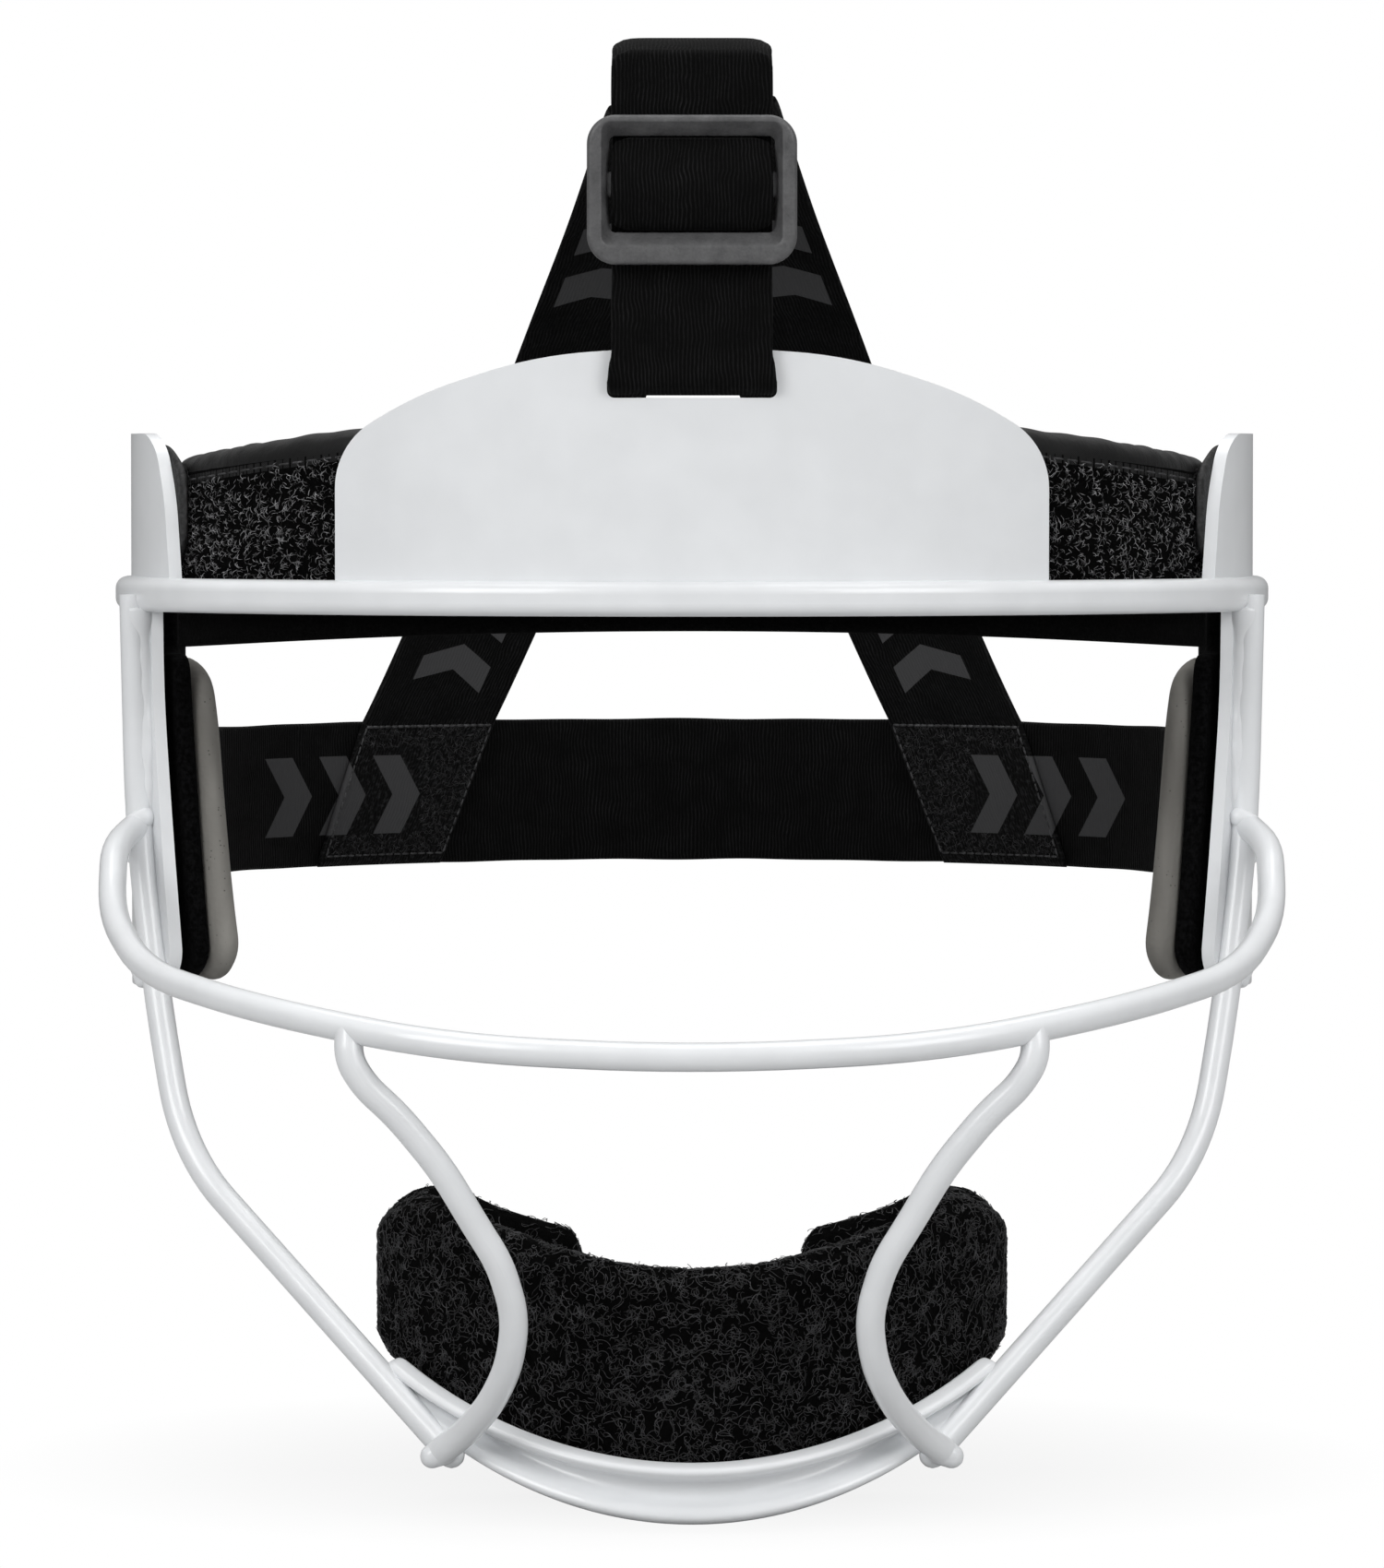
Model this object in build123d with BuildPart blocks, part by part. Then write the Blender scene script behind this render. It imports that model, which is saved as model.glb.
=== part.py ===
from build123d import *
from math import asin, cos, degrees, radians, sin, sqrt, tan
import os

# Softball face guard: a welded wire cage with plates, pads on hook strips and an elastic harness.
# Sizes are in millimetres. Z is up, the guard faces -Y, and left is the wearer's left, at +X.
# The origin is on the inner face of the forehead pad, level with the middle of the brow bar.

# Cage bars and plates
bar_diameter = 4.5
plate_thickness = 1.8
plate_step = 0.1
brow_bar_height = 5.6
brow_bar_depth = 4.5
brow_bar_rounding = 2.0
brow_bar_end_angle = 104.0

# Plan of the cage, measured on the middle of its plates
frame_half_width = 94.0
frame_front_share = 1.17
frame_corner_share = 0.638
frame_tail_angle = 100.0
frame_tail_run = 19.0

# Pads and the hook strips that hold them
hook_strip_thickness = 1.4
seat_gap = 0.3
forehead_pad_thickness = 8.65
side_backing_thickness = 1.4
side_foam_thickness = 4.5
pad_rounding = 1.5

# Straps
strap_width = 25.4
strap_thickness = 1.4
sewn_gap = 0.2

# An overrun that takes every cut past the piece it cuts
overrun = 300.0

# Share of a run that the arc of a bend takes up, for bars and outlines
bend_share = 0.45


def bend_radii(points):
    """Radius at each inner point, as large as the two runs beside it allow."""
    radii = []
    for before, corner, after in zip(points, points[1:], points[2:]):
        run_in = Vector(*corner) - Vector(*before)
        run_out = Vector(*after) - Vector(*corner)
        half_turn = radians(run_in.get_angle(run_out)) / 2
        radii.append(bend_share * min(run_in.length, run_out.length) / tan(half_turn))
    return radii


def bent_line(points):
    """Straight runs joined by tangent arcs, drawn in the current line."""
    return FilletPolyline(*points, radius=bend_radii(points))


def bent_bar(points):
    """A round bar bent along the points."""
    with BuildPart() as bar:
        with BuildLine() as route:
            bent_line(points)
        with BuildSketch(Plane(origin=route.line @ 0, z_dir=route.line % 0)):
            Circle(bar_diameter / 2)
        sweep()
    return bar.part


def mirrored(part):
    """The same piece on the wearer's right side."""
    return mirror(part, about=Plane.YZ)


def mirror_points(points):
    """Points given from one side to the middle, followed by their mirror images."""
    other_side = [(-point[0], *point[1:]) for point in reversed(points[:-1])]
    return points + other_side


class Oval:
    """Outline seen from above: an arc across the front and a tighter arc round each corner.

    Angles say how far the outline has turned from the middle of the front, positive to the left.
    """

    def __init__(self, half_width, front_share, corner_share, front_y):
        self.front_radius = half_width * front_share
        self.corner_radius = half_width * corner_share
        radius_step = self.front_radius - self.corner_radius
        self.corner_centre_x = half_width - self.corner_radius
        self.joint_angle = degrees(asin(self.corner_centre_x / radius_step))
        self.front_centre_y = front_y + self.front_radius
        self.corner_centre_y = self.front_centre_y - radius_step * cos(radians(self.joint_angle))

    def point(self, inset, angle):
        side = -1 if angle < 0 else 1
        turn = radians(abs(angle))
        if abs(angle) <= self.joint_angle:
            radius = self.front_radius - inset
            return (side * radius * sin(turn), self.front_centre_y - radius * cos(turn))
        radius = self.corner_radius - inset
        x = side * (self.corner_centre_x + radius * sin(turn))
        return (x, self.corner_centre_y - radius * cos(turn))

    def tail_point(self, inset, angle, run):
        """Point on the straight that leaves the corner arc at the angle, on the left side."""
        x, y = self.point(inset, angle)
        return (x + run * cos(radians(angle)), y + run * sin(radians(angle)))

    def draw(self, inset, start_angle, end_angle):
        """Arcs of the outline between two angles, drawn in the current line."""
        joints = [a for a in (-self.joint_angle, self.joint_angle) if start_angle < a < end_angle]
        stops = [start_angle, *joints, end_angle]
        for start, end in zip(stops, stops[1:]):
            middle = (start + end) / 2
            ThreePointArc(self.point(inset, start), self.point(inset, middle), self.point(inset, end))


# The plates' inner faces lie a little outside the brow bar's; hook strips and pads lie inside them
plate_inset = (brow_bar_depth - plate_thickness) / 2 - plate_step
hook_seat_inset = plate_inset + plate_thickness / 2
pad_seat_inset = hook_seat_inset + hook_strip_thickness + seat_gap
forehead_pad_inner_inset = pad_seat_inset + forehead_pad_thickness
frame_oval = Oval(
    frame_half_width, frame_front_share, frame_corner_share, -forehead_pad_inner_inset
)
widest_y = frame_oval.corner_centre_y


# Brow bar: a flat oval bar round the front and both temples
with BuildPart() as brow_bar:
    with BuildLine() as brow_route:
        frame_oval.draw(0, -brow_bar_end_angle, brow_bar_end_angle)
    brow_start = Plane(origin=brow_route.line @ 0, z_dir=brow_route.line % 0, x_dir=(0, 0, 1))
    with BuildSketch(brow_start):
        RectangleRounded(brow_bar_height, brow_bar_depth, brow_bar_rounding)
    sweep()
brow_bar.part.label = "brow_bar"


# Forehead plate, with the slot that the top strap goes through
forehead_plate_half_width = 57.3
forehead_plate_height = 40.3
forehead_plate_shares = [(1, 0), (1, 0.608), (0.768, 0.806), (0.436, 0.958), (0, 1)]
top_slot_clearance = 0.8
top_slot_width = strap_width + 2 * top_slot_clearance
top_slot_height = 3.6
top_slot_rim = 4.8
top_slot_rounding = 1.2
top_slot_z = forehead_plate_height - top_slot_rim - top_slot_height / 2
forehead_plate_points = mirror_points(
    [
        (forehead_plate_half_width * x_share, forehead_plate_height * z_share)
        for x_share, z_share in forehead_plate_shares
    ]
)
forehead_band_angle = degrees(asin(forehead_plate_half_width / frame_oval.front_radius)) + 2

with BuildPart() as forehead_plate:
    with BuildSketch():
        with BuildLine():
            frame_oval.draw(plate_inset, -forehead_band_angle, forehead_band_angle)
        trace(line_width=plate_thickness)
    extrude(amount=forehead_plate_height)
    with BuildSketch(Plane.XZ):
        with BuildLine():
            bent_line(forehead_plate_points)
            Line(forehead_plate_points[-1], forehead_plate_points[0])
        make_face()
    extrude(amount=overrun, both=True, mode=Mode.INTERSECT)
    with BuildSketch(Plane.XZ):
        with Locations((0, top_slot_z)):
            RectangleRounded(top_slot_width, top_slot_height, top_slot_rounding)
    extrude(amount=overrun, both=True, mode=Mode.SUBTRACT)
    add(brow_bar.part, mode=Mode.SUBTRACT)
forehead_plate.part.label = "forehead_plate"


# Temple plate: stands on the brow bar, its front corner rounded
temple_front_setback = 30.3
temple_length = 44.0
temple_height = 26.5
temple_top_shares = [(0, 0), (0.045, 0.61), (0.11, 0.9), (0.21, 1), (0.72, 1), (0.95, 0.8), (1, 0)]
temple_band_start = 44.0
temple_front_y = widest_y - temple_front_setback
temple_points = [
    (temple_front_y + temple_length * y_share, temple_height * z_share)
    for y_share, z_share in temple_top_shares
]

with BuildPart() as temple_plate_left:
    with BuildSketch():
        with BuildLine():
            frame_oval.draw(plate_inset, temple_band_start, frame_tail_angle)
            Line(
                frame_oval.point(plate_inset, frame_tail_angle),
                frame_oval.tail_point(plate_inset, frame_tail_angle, frame_tail_run),
            )
        trace(line_width=plate_thickness)
    extrude(amount=temple_height)
    with BuildSketch(Plane.YZ):
        with BuildLine():
            bent_line(temple_points)
            Line(temple_points[-1], temple_points[0])
        make_face()
    extrude(amount=overrun, mode=Mode.INTERSECT)
    add(brow_bar.part, mode=Mode.SUBTRACT)
temple_plate_left.part.label = "temple_plate_left"


# Chin plate: a curved sheet under the chin with both long edges rolled
chin_width_share = 0.569
chin_half_width = frame_half_width * chin_width_share
chin_front_share = 1.1215
chin_corner_share = 0.355
chin_front_y = -24.6
chin_plate_top_z = -136.0
chin_plate_height = 9.9
chin_top_arc_share = 1.533
chin_bottom_arc_share = 1.262
chin_plate_share = 0.886
chin_end_rounding = 2.0
rolled_edge_height = 2.9
rolled_edge_depth = 3.2
chin_top_arc_radius = chin_half_width * chin_top_arc_share
chin_bottom_arc_radius = chin_half_width * chin_bottom_arc_share
chin_plate_half_width = chin_half_width * chin_plate_share
chin_oval = Oval(chin_half_width, chin_front_share, chin_corner_share, chin_front_y)
chin_band_angle = degrees(asin(chin_plate_half_width / chin_oval.front_radius)) + 2
chin_band_floor_z = chin_plate_top_z - chin_plate_height


def smile_z(lowest_z, radius, x):
    """Height of an upturned arc, as seen from the front, at a distance from the middle."""
    return lowest_z + radius - sqrt(radius**2 - x**2)


def smile_outline(top_z, top_radius, bottom_z, bottom_radius, half_width):
    """Closed outline between two upturned arcs, drawn in the current line."""
    top_end_z = smile_z(top_z, top_radius, half_width)
    bottom_end_z = smile_z(bottom_z, bottom_radius, half_width)
    ThreePointArc((-half_width, top_end_z), (0, top_z), (half_width, top_end_z))
    ThreePointArc((-half_width, bottom_end_z), (0, bottom_z), (half_width, bottom_end_z))
    Line((half_width, top_end_z), (half_width, bottom_end_z))
    Line((-half_width, top_end_z), (-half_width, bottom_end_z))


with BuildPart() as chin_rolled_edges:
    rolled_edge_outset = (rolled_edge_depth - plate_thickness) / 2
    with BuildSketch(Plane.XY.offset(chin_band_floor_z)):
        with BuildLine():
            chin_oval.draw(-rolled_edge_outset, -chin_band_angle, chin_band_angle)
        trace(line_width=rolled_edge_depth)
    extrude(amount=frame_half_width)
    with BuildSketch(Plane.XZ):
        with BuildLine():
            smile_outline(
                chin_plate_top_z,
                chin_top_arc_radius,
                chin_plate_top_z - rolled_edge_height,
                chin_top_arc_radius + rolled_edge_height,
                chin_plate_half_width,
            )
        make_face()
        with BuildLine():
            smile_outline(
                chin_band_floor_z + rolled_edge_height,
                chin_bottom_arc_radius - rolled_edge_height,
                chin_band_floor_z,
                chin_bottom_arc_radius,
                chin_plate_half_width,
            )
        make_face()
    extrude(amount=overrun, both=True, mode=Mode.INTERSECT)

with BuildPart() as chin_plate:
    with BuildSketch(Plane.XY.offset(chin_band_floor_z)):
        with BuildLine():
            chin_oval.draw(0, -chin_band_angle, chin_band_angle)
        trace(line_width=plate_thickness)
    extrude(amount=frame_half_width)
    with BuildSketch(Plane.XZ):
        with BuildLine():
            smile_outline(
                chin_plate_top_z,
                chin_top_arc_radius,
                chin_band_floor_z,
                chin_bottom_arc_radius,
                chin_plate_half_width,
            )
        make_face()
    extrude(amount=overrun, both=True, mode=Mode.INTERSECT)
    add(chin_rolled_edges.part)
chin_plate.part.label = "chin_plate"


# Side bar: from the brow bar down past the cheek and forward to the chin plate
side_bar_angle = 69.4
side_bar_outset = 2.05
side_bar_lean = 9.0
side_bar_advance = 14.0
side_bar_drop = 91.2
cheek_joint_z = -37.8
jaw_end_angle = 39.0
jaw_weld_depth = 0.5
jaw_end_drop = 1.6
side_bar_upper_shares = [(0.1, 0.0, 0.43), (0.5, 0.53, 0.735)]
side_bar_x, side_bar_y = frame_oval.point(-side_bar_outset, side_bar_angle)
side_bar_knee = (side_bar_x - side_bar_lean, side_bar_y - side_bar_advance, -side_bar_drop)
jaw_outset = plate_thickness / 2 + bar_diameter / 2 - jaw_weld_depth
jaw_end_x, jaw_end_y = chin_oval.point(-jaw_outset, jaw_end_angle)
jaw_end_z = smile_z(chin_band_floor_z, chin_bottom_arc_radius, jaw_end_x) - jaw_end_drop
side_bar_points = [
    (side_bar_x, side_bar_y, 0),
    *[
        (
            side_bar_x - side_bar_lean * x_share,
            side_bar_y - side_bar_advance * y_share,
            -side_bar_drop * z_share,
        )
        for x_share, y_share, z_share in side_bar_upper_shares
    ],
    side_bar_knee,
    (jaw_end_x, jaw_end_y, jaw_end_z),
]

with BuildPart() as side_bar_left:
    add(bent_bar(side_bar_points))
    add(brow_bar.part, mode=Mode.SUBTRACT)
    add(chin_plate.part, mode=Mode.SUBTRACT)
side_bar_left.part.label = "side_bar_left"


# Cheek bar: leaves the side bars outwards, then sweeps round the front below the eyes
cheek_bar_bulge = 2.4
cheek_bar_reach = 102.5
cheek_bar_drop = 31.9
cheek_bar_shares = [
    (1.0, 0.11, 0.1),
    (0.993, 0.28, 0.43),
    (0.92, 0.51, 0.675),
    (0.72, 0.755, 0.805),
    (0.402, 0.94, 0.955),
    (0, 1, 1),
]
cheek_bar_half_width = side_bar_x + cheek_bar_bulge
cheek_joint_x = side_bar_x - side_bar_lean * side_bar_upper_shares[0][0]
cheek_joint = (cheek_joint_x, side_bar_y, cheek_joint_z)
cheek_bar_half = [
    cheek_joint,
    *[
        (
            cheek_bar_half_width * x_share,
            side_bar_y - cheek_bar_reach * y_share,
            cheek_joint_z - cheek_bar_drop * z_share,
        )
        for x_share, y_share, z_share in cheek_bar_shares
    ],
]

with BuildPart() as cheek_bar:
    add(bent_bar(mirror_points(cheek_bar_half)))
    add(side_bar_left.part, mode=Mode.SUBTRACT)
    add(mirrored(side_bar_left.part), mode=Mode.SUBTRACT)
cheek_bar.part.label = "cheek_bar"


# Mouth bar: leaves the middle of a run of the cheek bar and bows inwards on its way to the chin
mouth_bar_bow = 26.6
mouth_bar_shares = [
    (-0.004, -0.036, 0.068),
    (0.093, -0.02, 0.129),
    (0.278, 0.013, 0.196),
    (0.533, 0.062, 0.316),
    (0.726, 0.127, 0.445),
    (0.87, 0.176, 0.535),
    (0.959, 0.275, 0.658),
    (0.919, 0.405, 0.774),
    (0.8, 0.62, 0.875),
    (0.63, 0.88, 0.955),
]
mouth_end_past_jaw = 0.6
mouth_end_below_jaw = 0.4
mouth_run_start = Vector(*cheek_bar_half[-3])
mouth_run_end = Vector(*cheek_bar_half[-2])
mouth_top = (mouth_run_start + mouth_run_end) / 2
mouth_end = (
    jaw_end_x + mouth_end_past_jaw,
    jaw_end_y - bar_diameter + jaw_weld_depth,
    jaw_end_z - mouth_end_below_jaw,
)
mouth_bar_points = [
    (mouth_top.X, mouth_top.Y, mouth_top.Z),
    *[
        (
            mouth_top.X - mouth_bar_bow * x_share,
            mouth_top.Y + (mouth_end[1] - mouth_top.Y) * y_share,
            mouth_top.Z + (mouth_end[2] - mouth_top.Z) * z_share,
        )
        for x_share, y_share, z_share in mouth_bar_shares
    ],
    mouth_end,
]

with BuildPart() as mouth_bar_left:
    add(bent_bar(mouth_bar_points))
    add(cheek_bar.part, mode=Mode.SUBTRACT)
    add(side_bar_left.part, mode=Mode.SUBTRACT)
    add(chin_plate.part, mode=Mode.SUBTRACT)
mouth_bar_left.part.label = "mouth_bar_left"


# Cheek plate: hangs from the brow bar, with the rear strap's slot near its back edge
cheek_plate_front_setback = 23.0
cheek_plate_length = 51.0
cheek_plate_height = 65.0
cheek_plate_shares = [
    (0.0, 0.0),
    (-0.01, 0.25),
    (-0.14, 0.93),
    (-0.05, 1.0),
    (0.52, 1.0),
    (1.0, 0.84),
    (1.0, 0.2),
    (0.8, 0.0),
]
cheek_band_start = 46.0
strap_slot_start = 9.0
strap_slot_length = 4.0
strap_slot_clearance = 0.8
strap_slot_rounding = 1.0
rear_strap_z = -37.0
cheek_plate_front_y = widest_y - cheek_plate_front_setback
cheek_plate_points = [
    (cheek_plate_front_y + cheek_plate_length * y_share, -cheek_plate_height * z_share)
    for y_share, z_share in cheek_plate_shares
]
# The slot is cut square to the straight part of the plate
strap_slot_x, strap_slot_y = frame_oval.tail_point(
    plate_inset, frame_tail_angle, strap_slot_start + strap_slot_length / 2
)
tail_outward = (sin(radians(frame_tail_angle)), -cos(radians(frame_tail_angle)), 0)
tail_along = (cos(radians(frame_tail_angle)), sin(radians(frame_tail_angle)), 0)
strap_slot_plane = Plane(
    origin=(strap_slot_x, strap_slot_y, rear_strap_z), x_dir=tail_along, z_dir=tail_outward
)
strap_slot_height = strap_width + 2 * strap_slot_clearance

with BuildPart() as cheek_plate_left:
    with BuildSketch():
        with BuildLine():
            frame_oval.draw(plate_inset, cheek_band_start, frame_tail_angle)
            Line(
                frame_oval.point(plate_inset, frame_tail_angle),
                frame_oval.tail_point(plate_inset, frame_tail_angle, frame_tail_run),
            )
        trace(line_width=plate_thickness)
    extrude(amount=-cheek_plate_height)
    with BuildSketch(Plane.YZ):
        with BuildLine():
            bent_line(cheek_plate_points)
            Line(cheek_plate_points[-1], cheek_plate_points[0])
        make_face()
    extrude(amount=overrun, mode=Mode.INTERSECT)
    with BuildSketch(strap_slot_plane):
        RectangleRounded(strap_slot_length, strap_slot_height, strap_slot_rounding)
    extrude(amount=bar_diameter, both=True, mode=Mode.SUBTRACT)
    add(brow_bar.part, mode=Mode.SUBTRACT)
    add(side_bar_left.part, mode=Mode.SUBTRACT)
cheek_plate_left.part.label = "cheek_plate_left"


# Hook strips, glued to the inner faces of the plates
forehead_hook_half_width = 48.0
forehead_hook_bottom_z = 4.0
forehead_hook_height = 22.0
hook_strip_rounding = 5.0
hook_strip_inset = hook_seat_inset + hook_strip_thickness / 2

with BuildPart() as forehead_hook_strip:
    with BuildSketch(Plane.XY.offset(forehead_hook_bottom_z)):
        with BuildLine():
            frame_oval.draw(hook_strip_inset, -forehead_band_angle, forehead_band_angle)
        trace(line_width=hook_strip_thickness)
    extrude(amount=forehead_hook_height)
    with BuildSketch(Plane.XZ):
        with Locations((0, forehead_hook_bottom_z + forehead_hook_height / 2)):
            RectangleRounded(
                2 * forehead_hook_half_width, forehead_hook_height, hook_strip_rounding
            )
    extrude(amount=overrun, both=True, mode=Mode.INTERSECT)
forehead_hook_strip.part.label = "forehead_hook_strip"


def side_hook_strip(low_y, high_y, low_z, high_z, rounding):
    """A strip on the inner face of the left plates, with rounded corners in the side view."""
    with BuildPart() as strip:
        with BuildSketch(Plane.XY.offset(low_z)):
            with BuildLine():
                frame_oval.draw(hook_strip_inset, cheek_band_start, frame_tail_angle)
                Line(
                    frame_oval.point(hook_strip_inset, frame_tail_angle),
                    frame_oval.tail_point(hook_strip_inset, frame_tail_angle, frame_tail_run),
                )
            trace(line_width=hook_strip_thickness)
        extrude(amount=high_z - low_z)
        with BuildSketch(Plane.YZ):
            with Locations(((low_y + high_y) / 2, (low_z + high_z) / 2)):
                RectangleRounded(high_y - low_y, high_z - low_z, rounding)
        extrude(amount=overrun, mode=Mode.INTERSECT)
    return strip.part


temple_hook_margin = 3.0
side_hook_back_setback = 13.2
temple_hook_rounding = 8.0
cheek_hook_margin = 5.0
side_hook_back_y = widest_y + side_hook_back_setback
temple_hook_front_y = temple_front_y + seat_gap
temple_hook_bottom_z = brow_bar_height / 2 + seat_gap
cheek_hook_top_z = -temple_hook_bottom_z

with BuildPart() as temple_hook_strip_left:
    add(
        side_hook_strip(
            temple_hook_front_y,
            side_hook_back_y - temple_hook_margin,
            temple_hook_bottom_z,
            temple_height - plate_thickness,
            temple_hook_rounding,
        )
    )
temple_hook_strip_left.part.label = "temple_hook_strip_left"

with BuildPart() as cheek_hook_strip_left:
    add(
        side_hook_strip(
            cheek_plate_front_y + cheek_hook_margin,
            side_hook_back_y,
            cheek_hook_margin - cheek_plate_height,
            cheek_hook_top_z,
            hook_strip_rounding,
        )
    )
cheek_hook_strip_left.part.label = "cheek_hook_strip_left"


# Forehead pad: foam with a loop face in front and a satin binding along its top edge
forehead_pad_end_angle = 63.5
forehead_pad_top_z = 30.4
forehead_pad_top_end_z = 22.9
forehead_pad_bottom_z = -5.2
forehead_pad_bottom_end_z = -9.0
forehead_binding_height = 3.8
loop_face_thickness = 1.2


forehead_pad_end_x = frame_oval.point(0, forehead_pad_end_angle)[0]


def forehead_pad_layer(outer_inset, inner_inset, top_step, bottom_step):
    """A layer of the forehead pad between two insets, cut down from the pad's top or bottom edge."""
    end_x = forehead_pad_end_x
    with BuildPart() as layer:
        with BuildSketch(Plane.XY.offset(forehead_pad_bottom_end_z)):
            with BuildLine():
                middle_inset = (outer_inset + inner_inset) / 2
                frame_oval.draw(middle_inset, -forehead_pad_end_angle, forehead_pad_end_angle)
            trace(line_width=inner_inset - outer_inset)
        extrude(amount=forehead_pad_top_z - forehead_pad_bottom_end_z)
        with BuildSketch(Plane.XZ):
            with BuildLine():
                top_end_z = forehead_pad_top_end_z - top_step
                low_end_z = bottom_step
                top = ThreePointArc(
                    (-end_x, top_end_z), (0, forehead_pad_top_z - top_step), (end_x, top_end_z)
                )
                bottom = ThreePointArc(
                    (-end_x, low_end_z[1]), (0, low_end_z[0]), (end_x, low_end_z[1])
                )
                Line(top @ 0, bottom @ 0)
                Line(top @ 1, bottom @ 1)
            make_face()
        extrude(amount=overrun, both=True, mode=Mode.INTERSECT)
    return layer.part


pad_bottom_line = (forehead_pad_bottom_z, forehead_pad_bottom_end_z)
binding_bottom_line = (
    forehead_pad_top_z - forehead_binding_height,
    forehead_pad_top_end_z - forehead_binding_height,
)
loop_face_inset = pad_seat_inset + loop_face_thickness

with BuildPart() as forehead_pad_foam:
    add(
        forehead_pad_layer(
            loop_face_inset, forehead_pad_inner_inset, forehead_binding_height, pad_bottom_line
        )
    )
forehead_pad_foam.part.label = "forehead_pad_foam"

with BuildPart() as forehead_pad_loop_face:
    add(
        forehead_pad_layer(
            pad_seat_inset, loop_face_inset, forehead_binding_height, pad_bottom_line
        )
    )
forehead_pad_loop_face.part.label = "forehead_pad_loop_face"

with BuildPart() as forehead_pad_binding:
    add(forehead_pad_layer(pad_seat_inset, forehead_pad_inner_inset, 0, binding_bottom_line))
forehead_pad_binding.part.label = "forehead_pad_binding"


# Side pad: a black backing that reaches up behind the temple plate, and a grey foam on it
side_pad_front_setback = 22.6
side_pad_length = 37.8
side_pad_bottom_z = -64.0
side_pad_lobe_setback = 15.8
side_pad_lobe_top_z = 15.0
side_pad_shoulder_z = -9.8
side_backing_shares = [
    (0.0, 0.0),
    (-0.19, 0.93),
    (-0.06, 1.0),
    (0.85, 1.0),
    (1.0, 0.85),
]
side_foam_shares = [
    (0.08, 0.06),
    (0.0, 0.2),
    (-0.185, 0.91),
    (-0.09, 0.99),
    (0.80, 0.99),
    (0.97, 0.80),
    (0.97, 0.16),
    (0.75, 0.02),
    (0.25, 0.02),
]
side_pad_front_y = widest_y - side_pad_front_setback
side_pad_lobe_front_y = widest_y - side_pad_lobe_setback
side_pad_drop = side_pad_bottom_z - side_pad_shoulder_z
side_pad_back_y = side_pad_front_y + side_pad_length
side_backing_lower = [
    (
        side_pad_front_y + side_pad_length * y_share,
        side_pad_shoulder_z + side_pad_drop * z_share,
    )
    for y_share, z_share in side_backing_shares
]
side_backing_points = [
    (side_pad_lobe_front_y, side_pad_shoulder_z),
    *side_backing_lower,
    (side_pad_back_y, side_pad_lobe_top_z),
    (side_pad_lobe_front_y, side_pad_lobe_top_z),
]
side_foam_points = [
    (
        side_pad_front_y + side_pad_length * y_share,
        side_pad_shoulder_z + side_pad_drop * z_share,
    )
    for y_share, z_share in side_foam_shares
]


def side_pad_layer(outer_inset, thickness, points):
    """A layer of the left side pad, cut to the points in the side view."""
    middle_inset = outer_inset + thickness / 2
    with BuildPart() as layer:
        with BuildSketch(Plane.XY.offset(side_pad_bottom_z)):
            with BuildLine():
                frame_oval.draw(middle_inset, cheek_band_start, frame_tail_angle)
                Line(
                    frame_oval.point(middle_inset, frame_tail_angle),
                    frame_oval.tail_point(middle_inset, frame_tail_angle, frame_tail_run),
                )
            trace(line_width=thickness)
        extrude(amount=side_pad_lobe_top_z - side_pad_bottom_z)
        with BuildSketch(Plane.YZ):
            with BuildLine():
                Polyline(*points, close=True)
            make_face()
            fillet(vertices(), radius=pad_rounding)
        extrude(amount=overrun, mode=Mode.INTERSECT)
    return layer.part


with BuildPart() as side_pad_backing_left:
    add(side_pad_layer(pad_seat_inset, side_backing_thickness, side_backing_points))
side_pad_backing_left.part.label = "side_pad_backing_left"

side_foam_inset = pad_seat_inset + side_backing_thickness
with BuildPart() as side_pad_foam_left:
    add(side_pad_layer(side_foam_inset, side_foam_thickness, side_foam_points))
side_pad_foam_left.part.label = "side_pad_foam_left"


# Chin pad: a terry cup that wraps round the chin, open at the back above its floor
chin_pad_thickness = 8.0
chin_pad_crest_z = -96.6
chin_pad_bottom_z = -141.0
chin_pad_shares = [
    (0.39, 0.055),
    (0.75, 0.225),
    (0.925, 0.44),
    (1.0, 0.65),
    (1.0, 0.77),
    (0.93, 0.93),
    (0.8, 1.0),
    (0.63, 0.92),
    (0.43, 0.85),
    (0, 0.78),
]
chin_pad_floor_thickness = 5.0
chin_pad_opening_half_width = 15.0
chin_hook_height = 5.0
chin_hook_share = 0.76
chin_hook_half_width = chin_plate_half_width * chin_hook_share
chin_hook_inset = (plate_thickness + hook_strip_thickness) / 2
chin_pad_outer_inset = plate_thickness / 2 + hook_strip_thickness + seat_gap
chin_pad_inner_inset = chin_pad_outer_inset + chin_pad_thickness
chin_pad_half_width = chin_half_width - chin_pad_outer_inset
chin_wall_middle_inset = (chin_pad_outer_inset + chin_pad_inner_inset) / 2
chin_back_angle = 180.0
chin_pad_arc_radius = chin_top_arc_radius - plate_thickness / 2

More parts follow.
